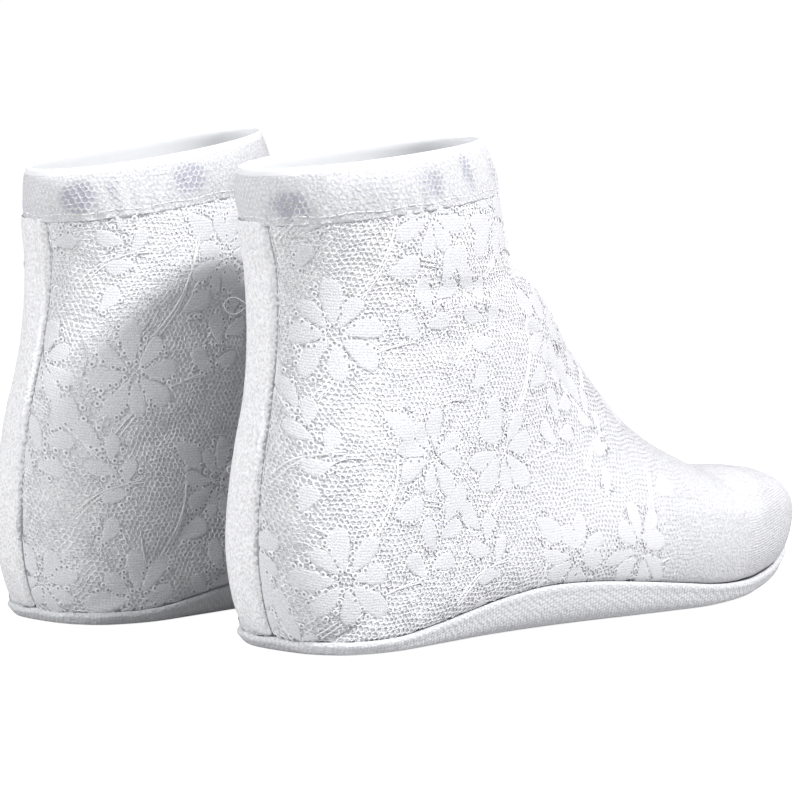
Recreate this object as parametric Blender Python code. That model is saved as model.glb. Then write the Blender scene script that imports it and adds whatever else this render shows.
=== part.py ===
"""A pair of lace tabi covers: ankle-high covers with a split toe, filled out with no wearer.

Metres, +Z up, toes towards -Y. The right cover is at -X and the left one, its mirror image, at +X.
Each cover is an outer side panel (four toes), an inner side panel (big toe), a sole whose edge turns up
round the foot, and a turned cuff band. A panel is laid over rings: a ring rises from the sole seam, or
below the heel from the back seam, to the seam over the instep.
"""

import math

import bmesh
import bpy
import numpy as np

MM = 0.001

# Driving sizes, in millimetres
WALL = 1.8  # lace and lining together, as one wall
SOLE_WALL = 2.0
SEAM_GAP = 0.3
BAND_BULGE = 1.1  # how far the padded cuff band stands out from the panels
BAND_WALL = 2.6  # the band is folded double over its elastic
FOOT_SPACING = 101.0  # between the centre lines of the two covers
FAR_SHIFT = 10.5  # the left cover stands this much further back
MIDDLE_SHIFT = 5.1  # brings the middle of the pair, toe to heel, over the origin

# The left cover's leg leans a little to the front, and its cuff rises more
LEAN_START = 72.0
LEAN_REACH = 82.0
FAR_LEAN = 10.0
FAR_RISE = 4.0
LEAN_BACK = 113.0
LEAN_DEPTH = 90.0

# How finely each piece is divided
PANEL_COLUMNS = 13
PANEL_STRETCHES = (  # first ring, last ring and the steps between them
    (1, 5, 7),
    (5, 9, 7),
    (9, 11, 6),
    (11, 20, 9),
    (20, 24, 5),
    (24, 31, 11),
)
BAND_STATIONS = 56
BAND_STEPS = 4
SOLE_TURN_STEPS = 3
ARC_POINTS = 40

# Rings of the leg and foot, in a cover's own millimetres: y back from the middle of the foot, z up.
# The top is on the instep seam; the base is on the back seam, and from the heel on at the sole seam.
RING_COLUMNS = (
    "top_y", "top_z", "base_y", "base_z", "middle", "outer_widest", "outer_base",
    "inner_widest", "inner_base", "fullness", "over", "under", "split",
)
RINGS = (
    (26.0, 157.0, 113.0, 146.0, 0.0, 31.5, 0.0, 31.5, 0.0, 0.50, 2.15, 2.2, 0.0),  # rim of the cuff
    (19.5, 143.0, 111.0, 132.0, 0.0, 32.5, 0.0, 32.5, 0.0, 0.50, 2.15, 2.2, 0.0),  # foot of the cuff band
    (15.5, 129.5, 107.0, 116.0, 0.0, 33.0, 0.0, 33.0, 0.0, 0.50, 2.15, 2.2, 0.0),
    (10.5, 118.5, 107.0, 97.0, 0.0, 32.5, 0.0, 32.5, 0.0, 0.50, 2.15, 2.2, 0.0),  # narrowest, at the ankle
    (2.0, 115.0, 109.5, 78.0, 0.0, 32.0, 0.0, 32.0, 0.0, 0.50, 2.15, 2.35, 0.0),  # fold at the ankle's bend
    (-4.5, 109.5, 113.0, 59.5, 0.0, 33.0, 0.0, 33.0, 0.0, 0.495, 2.15, 2.6, 0.0),
    (-10.0, 104.5, 115.0, 42.0, 0.0, 33.5, 0.0, 33.5, 0.0, 0.485, 2.15, 2.8, 0.0),
    (-15.0, 98.5, 115.0, 26.0, 0.0, 33.8, 0.0, 33.8, 0.0, 0.47, 2.15, 2.95, 0.0),
    (-19.0, 93.5, 112.5, 12.5, 0.0, 34.0, 0.0, 34.0, 0.0, 0.455, 2.15, 3.0, 0.0),
    (-21.8, 90.5, 109.0, 4.2, 0.0, 34.2, 0.0, 34.2, 0.0, 0.445, 2.15, 3.0, 0.0),  # foot of the back seam
    (-23.6, 88.8, 106.5, 4.0, 0.0, 34.3, 15.5, 34.3, 15.5, 0.44, 2.15, 3.0, 0.0),
    (-27.2, 85.2, 98.5, 4.0, -0.2, 34.8, 25.4, 34.6, 25.3, 0.425, 2.15, 2.9, 0.0),
    (-33.0, 79.2, 83.0, 4.6, -0.6, 35.8, 30.9, 35.0, 30.4, 0.40, 2.15, 2.7, 0.0),
    (-39.6, 72.6, 62.0, 7.6, -1.4, 37.4, 32.5, 35.4, 30.5, 0.375, 2.18, 2.34, 0.0),
    (-46.0, 66.4, 40.0, 11.5, -2.6, 39.6, 34.5, 35.5, 30.0, 0.355, 2.22, 2.24, 0.0),
    (-52.0, 61.8, 18.0, 14.0, -4.0, 42.6, 38.0, 35.5, 30.0, 0.345, 2.28, 2.18, 0.0),
    (-57.6, 57.8, -4.0, 13.5, -5.6, 46.2, 42.0, 35.5, 30.5, 0.34, 2.35, 2.15, 0.0),
    (-62.8, 54.4, -26.0, 11.5, -7.2, 50.2, 46.5, 35.5, 31.5, 0.34, 2.45, 2.15, 0.0),
    (-67.6, 51.2, -46.0, 9.2, -8.6, 53.6, 50.0, 35.5, 32.5, 0.345, 2.55, 2.15, 0.0),
    (-71.6, 48.6, -60.0, 7.5, -9.5, 55.6, 52.0, 35.5, 33.0, 0.355, 2.65, 2.15, 0.0),
    (-75.5, 46.9, -69.5, 6.6, -10.0, 56.4, 52.6, 35.5, 33.2, 0.37, 2.7, 2.15, 0.0),
    (-79.0, 45.9, -76.0, 6.1, -10.0, 56.4, 52.2, 35.4, 33.1, 0.38, 2.75, 2.15, 0.15),  # the split opens
    (-82.2, 45.4, -81.0, 5.8, -10.0, 55.8, 51.6, 35.2, 32.8, 0.385, 2.8, 2.15, 0.55),
    (-85.5, 45.2, -85.0, 5.6, -10.0, 55.0, 50.6, 35.0, 32.5, 0.39, 2.8, 2.15, 0.88),
    (-88.5, 45.0, -88.0, 5.5, -10.0, 54.0, 49.8, 34.6, 32.2, 0.39, 2.8, 2.15, 1.0),  # two toes from here
)
FIRST_PANEL_RING = 1
BACK_SEAM_FOOT = 9
SPLIT_START = 20
SPLIT_END = 24

# Toes, each ring an arch of its own; the first five stand at the rings where the split opens.
TOE_COLUMNS = (
    "top_y", "top_z", "base_y", "base_z", "middle",
    "far_widest", "far_base", "slit_widest", "slit_base", "fullness", "over",
)
FOUR_TOES = (
    (-75.5, 45.2, -69.5, 6.6, 17.5, 29.0, 25.2, 27.5, 27.4, 0.42, 3.1),
    (-79.0, 44.6, -76.0, 6.1, 17.5, 28.9, 24.8, 27.5, 27.4, 0.42, 3.05),
    (-82.2, 44.1, -81.0, 5.8, 17.5, 28.4, 24.2, 27.5, 27.4, 0.42, 3.0),
    (-85.5, 43.6, -85.0, 5.6, 17.3, 27.8, 23.4, 27.3, 27.1, 0.43, 2.95),
    (-88.5, 43.0, -88.0, 5.5, 17.0, 27.2, 22.8, 26.8, 26.4, 0.43, 2.9),
    (-96.5, 41.0, -95.0, 5.6, 16.3, 26.2, 22.1, 25.4, 24.6, 0.44, 2.7),
    (-105.5, 38.4, -102.3, 6.1, 15.3, 25.0, 21.0, 23.6, 22.2, 0.45, 2.55),
    (-113.0, 34.4, -109.5, 7.3, 14.2, 22.8, 19.2, 21.2, 19.4, 0.455, 2.45),
    (-119.6, 28.8, -115.8, 9.0, 13.0, 19.2, 16.2, 17.8, 15.8, 0.455, 2.35),
    (-124.0, 22.2, -120.6, 11.0, 12.0, 14.2, 12.0, 13.2, 11.4, 0.46, 2.3),
    (-125.6, 16.4, -123.4, 12.4, 11.4, 8.0, 6.6, 7.5, 6.1, 0.46, 2.2),
    (-124.8, 13.0, -124.8, 13.0, 11.2, 0.0, 0.0, 0.0, 0.0, 0.46, 2.2),
)
BIG_TOE = (
    (-75.5, 45.9, -69.5, 6.6, -27.0, 18.5, 16.2, 17.0, 16.9, 0.42, 2.9),
    (-79.0, 45.5, -76.0, 6.1, -27.0, 18.4, 16.1, 17.0, 16.9, 0.42, 2.85),
    (-82.2, 45.2, -81.0, 5.8, -27.0, 18.2, 15.8, 17.0, 16.9, 0.42, 2.8),
    (-85.5, 44.9, -85.0, 5.6, -27.0, 18.0, 15.5, 16.9, 16.7, 0.43, 2.75),
    (-88.5, 44.6, -88.0, 5.5, -27.0, 17.8, 15.3, 16.6, 16.2, 0.43, 2.7),
    (-96.0, 43.4, -94.5, 5.6, -27.0, 17.2, 14.8, 15.9, 15.4, 0.44, 2.6),
    (-103.5, 41.0, -101.0, 6.1, -26.6, 16.2, 13.8, 15.0, 14.2, 0.45, 2.5),
    (-110.5, 36.6, -107.5, 7.3, -26.0, 14.4, 12.2, 13.6, 12.4, 0.46, 2.4),
    (-117.0, 30.2, -113.5, 9.0, -25.5, 12.0, 10.0, 11.6, 10.2, 0.46, 2.3),
    (-121.0, 23.2, -118.0, 11.0, -25.0, 8.9, 7.4, 8.7, 7.5, 0.46, 2.25),
    (-122.5, 17.0, -120.8, 12.4, -25.0, 5.1, 4.1, 5.1, 4.1, 0.46, 2.2),
    (-122.0, 13.0, -122.0, 13.0, -25.0, 0.0, 0.0, 0.0, 0.0, 0.46, 2.2),
)

# Squareness of a toe's arch below its widest, and beside the slit: 2 is an ellipse, more is squarer
TOE_SQUARENESS = 2.3
SLIT_SQUARENESS = 3.2

# The toes turn up a little, from this far ahead of the middle to the tip
SPRING_START = -52.0
SPRING_REACH = 70.0
TOE_SPRING = 9.5
SPRING_CUTS = 5

# How far the sole's turned-up edge draws in below the seam, as a share of the seam's height
SOLE_TURN_INSET = 0.5

# The band's roundness: the part of a half turn that it shows, and how full it is
PUFF_FROM = 0.12
PUFF_TO = 0.92
PUFF_POWER = 0.7

# Mesh tolerances in millimetres, and the angle in degrees from which an edge is sharp
MERGE = 0.02
CUT_TOLERANCE = 0.001
SHARP_ANGLE = 40

# Linear colours of each piece
LACE_WHITE = (0.80, 0.80, 0.81, 1.0)
SOLE_WHITE = (0.74, 0.74, 0.75, 1.0)
BAND_WHITE = (0.84, 0.84, 0.85, 1.0)
LACE_ROUGHNESS = 0.85
SOLE_ROUGHNESS = 0.9


def clear_scene():
    for obj in list(bpy.data.objects):
        bpy.data.objects.remove(obj, do_unlink=True)


def row_at(table, place):
    """The table's row at a place between its rows, on a smooth curve through them."""
    values = np.array(table)
    last = len(values) - 1
    low = min(max(int(math.floor(place)), 0), last - 1)
    share = place - low
    before = values[max(low - 1, 0)]
    start = values[low]
    end = values[low + 1]
    after = values[min(low + 2, last)]
    slope_in = (end - before) / 2
    slope_out = (after - start) / 2
    cubic = 2 * start - 2 * end + slope_in + slope_out
    square = -3 * start + 3 * end - 2 * slope_in - slope_out
    return ((cubic * share + square) * share + slope_in) * share + start


def half_arch(top, base, widest, base_width, fullness, over, under):
    """One side of a ring as rows of (sideways, y, z), from the top down to the base.

    It is widest at the share fullness of its height; over and under are its squareness above and below.
    """
    top = np.array(top)
    base = np.array(base)
    height = np.linalg.norm(top - base)
    belly = fullness * height
    angles = np.linspace(0, math.pi / 2, ARC_POINTS)
    over_side = widest * np.sin(angles) ** (2 / over)
    over_rise = belly + (height - belly) * np.cos(angles) ** (2 / over)
    kept = 1 - (base_width / max(widest, 1e-9)) ** under
    drop = np.sin(angles) ** (2 / under)
    under_side = widest * np.maximum(1 - kept * drop**under, 0) ** (1 / under)
    under_rise = belly * (1 - drop)
    side = np.concatenate([over_side, under_side[1:]])
    rise = np.concatenate([over_rise, under_rise[1:]])
    up = (top - base) / max(height, 1e-9)
    yz = base + np.outer(rise, up)
    return np.column_stack([side, yz])


def lengths_along(points):
    steps = np.linalg.norm(np.diff(points, axis=0), axis=1)
    return np.concatenate([[0], np.cumsum(steps)])


def spaced(points, count, knee=0.0, share=0.0):
    """The same curve as count points, evenly spaced up to its knee and again after it.

    The knee is a length along the curve, and share is the share of the points that go before it.
    """
    along = lengths_along(points)
    if along[-1] < 1e-9:
        return np.repeat(points[:1], count, axis=0)
    wanted = np.interp(np.linspace(0, 1, count), (0, share, 1), (0, knee, along[-1]))
    if knee == 0:
        wanted = np.linspace(0, along[-1], count)
    return np.column_stack([np.interp(wanted, along, points[:, k]) for k in range(3)])


def sole_width(place, name):
    """Half the sole's width at a ring; its square is what changes evenly, so that the heel is round."""
    column = RING_COLUMNS.index(name + "_base")
    squares = [(row[column] ** 2,) for row in RINGS]
    return math.sqrt(max(row_at(squares, place)[0], 0)) if place > BACK_SEAM_FOOT else 0


def whole_ring(place, outward):
    """One half of an undivided ring: outward is +1 for the outer side and -1 for the inner side."""
    ring = dict(zip(RING_COLUMNS, row_at(RINGS, place)))
    name = "outer" if outward > 0 else "inner"
    base_width = sole_width(place, name)
    arch = half_arch(
        (ring["top_y"], ring["top_z"]), (ring["base_y"], ring["base_z"]),
        ring[name + "_widest"], base_width, ring["fullness"], ring["over"], ring["under"],
    )
    arch[:, 0] = ring["middle"] + outward * arch[:, 0]
    return arch, min(max(ring["split"], 0), 1)


def toe_ring(place, outward):
    """A toe's arch from the foot of the slit, over its top, to the far seam."""
    table = FOUR_TOES if outward > 0 else BIG_TOE
    toe = dict(zip(TOE_COLUMNS, row_at(table, place - SPLIT_START)))
    top = (toe["top_y"], toe["top_z"])
    base = (toe["base_y"], toe["base_z"])
    far_widest = max(toe["far_widest"], 0)
    slit_widest = max(toe["slit_widest"], 0)
    far = half_arch(top, base, far_widest, min(max(toe["far_base"], 0), far_widest),
                    toe["fullness"], toe["over"], TOE_SQUARENESS)
    slit = half_arch(top, base, slit_widest, min(max(toe["slit_base"], 0), slit_widest),
                     toe["fullness"], SLIT_SQUARENESS, SLIT_SQUARENESS)
    far[:, 0] = toe["middle"] + outward * far[:, 0]
    slit[:, 0] = toe["middle"] - outward * slit[:, 0]
    return np.concatenate([slit[::-1], far[1:]]), lengths_along(slit)[-1]


def panel_ring(place, outward, columns):
    """A ring of a side panel, from its front edge to its back or sole edge.

    Where the split opens, the toe's crown is matched with the point of the whole ring above it.
    """
    if place <= SPLIT_START:
        return spaced(whole_ring(place, outward)[0], columns)
    toe, crown = toe_ring(place, outward)
    if place >= SPLIT_END:
        return spaced(toe, columns)
    whole, split = whole_ring(place, outward)
    along = lengths_along(whole)
    crown_side = np.interp(crown, lengths_along(toe), toe[:, 0])
    over_crown = np.interp(outward * crown_side, outward * whole[:, 0][: ARC_POINTS],
                           along[: ARC_POINTS])
    opened = (place - SPLIT_START) / (SPLIT_END - SPLIT_START)
    share = (1 - opened) * over_crown / along[-1] + opened * crown / lengths_along(toe)[-1]
    matched = spaced(whole, columns, over_crown, share)
    return (1 - split) * matched + split * spaced(toe, columns, crown, share)


def ring_places():
    """Where the rows stand: closer together round the heel, at the split and at the tips."""
    stretches = [np.linspace(first, last, steps + 1) for first, last, steps in PANEL_STRETCHES]
    return np.unique(np.round(np.concatenate(stretches), 4))


def unit(vectors):
    lengths = np.linalg.norm(vectors, axis=-1, keepdims=True)
    return vectors / np.maximum(lengths, 1e-12)


def outward_normals(grid, outward):
    """Unit normals of a grid of points, pointing away from the foot."""
    down = np.gradient(grid, axis=0)
    across = np.gradient(grid, axis=1)
    return unit(np.cross(down, across) * outward)


def panel_walls(outward):
    """The outer and inner points of a side panel, as two grids, and the ring place of each row.

    Each edge is set back half a seam gap, and its wall turns square to the seam.
    """
    places = ring_places()
    grid = np.array([panel_ring(p, outward, PANEL_COLUMNS) for p in places])
    normals = outward_normals(grid, outward)
    on_back_seam = places <= BACK_SEAM_FOOT
    on_sole = ~on_back_seam
    in_slit = places >= SPLIT_END
    in_middle = ~in_slit
    normals[in_middle, 0, 0] = 0
    normals[on_back_seam, -1, 0] = 0
    normals[on_sole, -1, 2] = 0
    normals[in_slit, 0, 2] = 0
    normals[0, :, 2] = 0
    normals[-1, :] = (0, -1, 0)
    normals = unit(normals)
    half_gap = SEAM_GAP / 2
    outer = grid.copy()
    inner = grid - normals * WALL
    for wall in (outer, inner):
        wall[in_middle, 0, 0] += outward * half_gap
        wall[on_back_seam, -1, 0] += outward * half_gap
        wall[on_sole, -1, 2] = grid[on_sole, -1, 2] + half_gap
        wall[in_slit, 0, 2] = grid[in_slit, 0, 2] + half_gap
        wall[0, :, 2] = grid[0, :, 2] - half_gap
    outer[-1] = grid[-1] + (0, 0, half_gap)
    inner[-1] = grid[-1] + (0, WALL, half_gap)
    return outer, inner, places


def grid_faces(rows, columns, offset, flip):
    faces = []
    for i in range(rows - 1):
        for j in range(columns - 1):
            a = offset + i * columns + j
            quad = (a, a + 1, a + columns + 1, a + columns)
            faces.append(quad[::-1] if flip else quad)
    return faces


def rim_faces(loop, offset, flip):
    """A strip of faces between an outer loop of points and the same loop on the inner wall."""
    faces = []
    for k, a in enumerate(loop):
        b = loop[(k + 1) % len(loop)]
        quad = (b, a, a + offset, b + offset)
        faces.append(quad[::-1] if flip else quad)
    return faces


def toe_spring(y):
    """How far the toes turn up at y."""
    share = np.clip((SPRING_START - y) / SPRING_REACH, 0, 1)
    return TOE_SPRING * share**2


def posed(points, side):
    """A cover's own points in the object's frame; side is -1 for the right cover and +1 for the left."""
    world = np.array(points, dtype=float)
    world[:, 2] += toe_spring(world[:, 1])
    if side > 0:
        leg = np.clip((world[:, 2] - LEAN_START) / LEAN_REACH, 0, None)
        front = np.clip((LEAN_BACK - world[:, 1]) / LEAN_DEPTH, 0, 1)
        world[:, 1] -= FAR_LEAN * leg
        world[:, 2] += FAR_RISE * leg * front
    world[:, 0] = side * (FOOT_SPACING / 2 + world[:, 0])
    world[:, 1] += MIDDLE_SHIFT + FAR_SHIFT * side / 2
    return world


def add_object(name, points, faces, material, collection, side):
    """A mesh object from a cover's own points; flat faces are cut where the toes turn up."""
    mesh = bpy.data.meshes.new(name)
    mesh.from_pydata(np.asarray(points).tolist(), [], faces)
    edited = bmesh.new()
    edited.from_mesh(mesh)
    bmesh.ops.remove_doubles(edited, verts=edited.verts, dist=MERGE)
    bmesh.ops.dissolve_degenerate(edited, edges=edited.edges, dist=MERGE / 2)
    long_faces = [face for face in edited.faces if len(face.verts) > 4]
    for cut in range(SPRING_CUTS if long_faces else 0):
        y = SPRING_START - SPRING_REACH * cut / SPRING_CUTS
        flat = [face for face in edited.faces if len(face.verts) > 4]
        edges = {edge for face in flat for edge in face.edges}
        verts = {vert for face in flat for vert in face.verts}
        around = flat + list(edges) + list(verts)
        bmesh.ops.bisect_plane(edited, geom=around, plane_co=(0, y, 0), plane_no=(0, 1, 0), dist=CUT_TOLERANCE)
    bmesh.ops.triangulate(edited, faces=edited.faces)
    places = posed([vert.co for vert in edited.verts], side) * MM
    for vert, place in zip(edited.verts, places):
        vert.co = place
    if edited.calc_volume(signed=True) < 0:
        bmesh.ops.reverse_faces(edited, faces=edited.faces)
    edited.to_mesh(mesh)
    edited.free()
    mesh.shade_smooth()
    mesh.set_sharp_from_angle(angle=math.radians(SHARP_ANGLE))
    obj = bpy.data.objects.new(name, mesh)
    obj.data.materials.append(material)
    collection.objects.link(obj)
    return obj


def side_panel(name, outward, material, collection, side):
    outer, inner, _ = panel_walls(outward)
    rows, columns = outer.shape[:2]
    count = rows * columns
    points = np.concatenate([outer.reshape(-1, 3), inner.reshape(-1, 3)])
    faces = grid_faces(rows, columns, 0, False)
    faces += grid_faces(rows, columns, count, True)
    loop = list(range(columns))
    loop += [i * columns + columns - 1 for i in range(1, rows)]
    loop += [(rows - 1) * columns + j for j in range(columns - 2, -1, -1)]
    loop += [i * columns for i in range(rows - 2, 0, -1)]
    faces += rim_faces(loop, count, False)
    return add_object(name, points, faces, material, collection, side)


def seam_loop():
    """The sole seam of a cover as one closed loop: outer side, slit, inner side and round the heel."""
    places = ring_places()
    outer = np.array([panel_ring(p, 1, PANEL_COLUMNS) for p in places])
    inner = np.array([panel_ring(p, -1, PANEL_COLUMNS) for p in places])
    sole = places > BACK_SEAM_FOOT
    foot = places == BACK_SEAM_FOOT
    slit = places > SPLIT_END
    crotch = places == SPLIT_END
    loop = [outer[foot, -1], outer[sole, -1], outer[slit, 0][:-1][::-1]]
    loop += [(outer[crotch, 0] + inner[crotch, 0]) / 2]
    loop += [inner[slit, 0], inner[sole, -1][:-1][::-1]]
    return np.concatenate(loop)


def inward_directions(loop):
    """In plan, the direction into the sole at each point of its seam."""
    along = np.roll(loop, -1, axis=0) - np.roll(loop, 1, axis=0)
    across = np.column_stack([along[:, 1], -along[:, 0], np.zeros(len(loop))])
    across = unit(across)
    area = np.sum(loop[:, 0] * np.roll(loop[:, 1], -1) - np.roll(loop[:, 0], -1) * loop[:, 1])
    return across if area < 0 else -across


def sole_layers(loop, inward, depth):
    """Loops of the turned-up edge, from the seam to the ground, set back inwards by depth."""
    rim = loop.copy()
    rim[:, 2] -= SEAM_GAP / 2
    layers = []
    for step in range(SOLE_TURN_STEPS + 1):
        angle = math.pi / 2 * step / SOLE_TURN_STEPS
        reach = rim[:, 2] * SOLE_TURN_INSET
        inset = (reach - depth) * (1 - math.cos(angle)) + depth
        layer = rim + inward * inset[:, None]
        layer[:, 2] = (rim[:, 2] - depth * math.sin(angle) ** 2) * (1 - math.sin(angle))
        layer[:, 2] += depth * math.sin(angle) ** 2
        layers.append(layer)
    return layers


def sole(name, material, collection, side):
    loop = seam_loop()
    inward = inward_directions(loop)
    outside = sole_layers(loop, inward, 0.0)
    inside = sole_layers(loop, inward, SOLE_WALL)
    count = len(loop)
    points = np.concatenate(outside + inside)
    faces = []
    layers = SOLE_TURN_STEPS + 1
    for k in range(count):
        nxt = (k + 1) % count
        for step in range(SOLE_TURN_STEPS):
            low, high = step * count, (step + 1) * count
            faces.append((low + k, low + nxt, high + nxt, high + k))
            low, high = low + layers * count, high + layers * count
            faces.append((low + k, high + k, high + nxt, low + nxt))
        faces.append((k, layers * count + k, layers * count + nxt, nxt))
    faces.append(tuple((layers - 1) * count + k for k in range(count)))
    faces.append(tuple((2 * layers - 1) * count + k for k in reversed(range(count))))
    return add_object(name, points, faces, material, collection, side)


def cuff_band(name, material, collection, side):
    """The turned casing: a closed ring whose outside is rounded from the rim to the stitching."""
    half = BAND_STATIONS // 2 + 1
    outside = []
    inside = []
    for step in range(BAND_STEPS + 1):
        share = step / BAND_STEPS
        halves = [panel_ring(share, outward, half) for outward in (1, -1)]
        ring = np.concatenate([halves[0], halves[1][::-1][1:-1]])
        along = unit(np.roll(ring, -1, axis=0) - np.roll(ring, 1, axis=0))
        out = unit(np.column_stack([along[:, 1], -along[:, 0], np.zeros(len(ring))]))
        if np.sum(out[:, 0] * (ring[:, 0] - ring[:, 0].mean())) < 0:
            out = -out
        turn = PUFF_FROM + (PUFF_TO - PUFF_FROM) * share
        puff = math.sin(math.pi * turn) ** PUFF_POWER
        layer = ring + out * BAND_BULGE * puff
        lining = ring + out * (BAND_BULGE * puff - BAND_WALL)
        if step == BAND_STEPS:
            layer[:, 2] += SEAM_GAP / 2
            lining[:, 2] += SEAM_GAP / 2
        outside.append(layer)
        inside.append(lining)
    count = len(outside[0])
    layers = BAND_STEPS + 1
    points = np.concatenate(outside + inside)
    faces = []
    for k in range(count):
        nxt = (k + 1) % count
        for step in range(BAND_STEPS):
            low, high = step * count, (step + 1) * count
            faces.append((low + k, low + nxt, high + nxt, high + k))
            low, high = low + layers * count, high + layers * count
            faces.append((low + k, high + k, high + nxt, low + nxt))
        faces.append((k, layers * count + k, layers * count + nxt, nxt))
        low = BAND_STEPS * count
        faces.append((low + k, low + nxt, low + layers * count + nxt, low + layers * count + k))
    return add_object(name, points, faces, material, collection, side)


def cloth_material(name, colour, roughness):
    material = bpy.data.materials.new(name)
    material.use_nodes = True
    shader = material.node_tree.nodes["Principled BSDF"]
    shader.inputs["Base Color"].default_value = colour
    shader.inputs["Roughness"].default_value = roughness
    shader.inputs["Metallic"].default_value = 0.0
    material.diffuse_color = colour
    return material


def tabi_cover(letter, side, collection):
    """One cover: R stands at -X and L, its mirror image, at +X."""
    pieces = (("outer_panel_", 1), ("inner_panel_", -1))
    for stem, outward in pieces:
        lace = cloth_material(stem + letter + "_lace", LACE_WHITE, LACE_ROUGHNESS)
        side_panel(stem + letter, outward, lace, collection, side)
    cloth = cloth_material("sole_cloth_" + letter, SOLE_WHITE, SOLE_ROUGHNESS)
    sole("sole_" + letter, cloth, collection, side)
    band = cloth_material("cuff_lace_" + letter, BAND_WHITE, LACE_ROUGHNESS)
    cuff_band("cuff_band_" + letter, band, collection, side)


def main():
    clear_scene()
    collection = bpy.data.collections.new("Tabi covers")
    bpy.context.scene.collection.children.link(collection)
    tabi_cover("R", -1, collection)
    tabi_cover("L", 1, collection)


main()
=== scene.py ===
"""Looks of a pair of lace tabi covers: floral lace over a white lining, a woven sole cloth turned up
round the foot and a turned cuff over its elastic.

Metres, +Z up, toes towards -Y. The right cover is at -X and the left one at +X. The cloth is worked out
in a cover's own millimetres, from the same rings as the solids, and placed at the end.
"""

import math

import bmesh
import bpy
import numpy as np
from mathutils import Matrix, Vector
from mathutils.bvhtree import BVHTree


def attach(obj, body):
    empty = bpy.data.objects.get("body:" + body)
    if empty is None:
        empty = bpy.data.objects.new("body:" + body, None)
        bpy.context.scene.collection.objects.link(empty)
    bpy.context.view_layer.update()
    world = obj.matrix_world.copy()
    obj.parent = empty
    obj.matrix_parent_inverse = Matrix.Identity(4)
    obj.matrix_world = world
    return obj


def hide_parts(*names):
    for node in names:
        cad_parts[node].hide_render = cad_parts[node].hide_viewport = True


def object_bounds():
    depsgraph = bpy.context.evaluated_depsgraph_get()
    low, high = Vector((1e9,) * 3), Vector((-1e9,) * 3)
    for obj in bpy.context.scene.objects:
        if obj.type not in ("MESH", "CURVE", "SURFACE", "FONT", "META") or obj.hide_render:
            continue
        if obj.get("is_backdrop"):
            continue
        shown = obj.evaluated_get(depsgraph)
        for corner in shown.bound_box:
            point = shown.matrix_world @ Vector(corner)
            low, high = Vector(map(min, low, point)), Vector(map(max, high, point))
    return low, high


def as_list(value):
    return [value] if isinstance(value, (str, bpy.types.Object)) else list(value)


MM = 0.001
TINY = 1e-9
MERGE = 2e-6  # corners of a lining nearer than this are one, in metres

# The covers: their letter, and -1 for the side of the right one or +1 for the left one's
SIDES = (("R", -1), ("L", 1))

# Where the covers stand, in millimetres
FOOT_SPACING = 101.0
FAR_SHIFT = 10.5
MIDDLE_SHIFT = 5.1
LEAN_START = 72.0
LEAN_REACH = 82.0
FAR_LEAN = 10.0
FAR_RISE = 4.0
LEAN_BACK = 113.0
LEAN_DEPTH = 90.0

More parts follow.
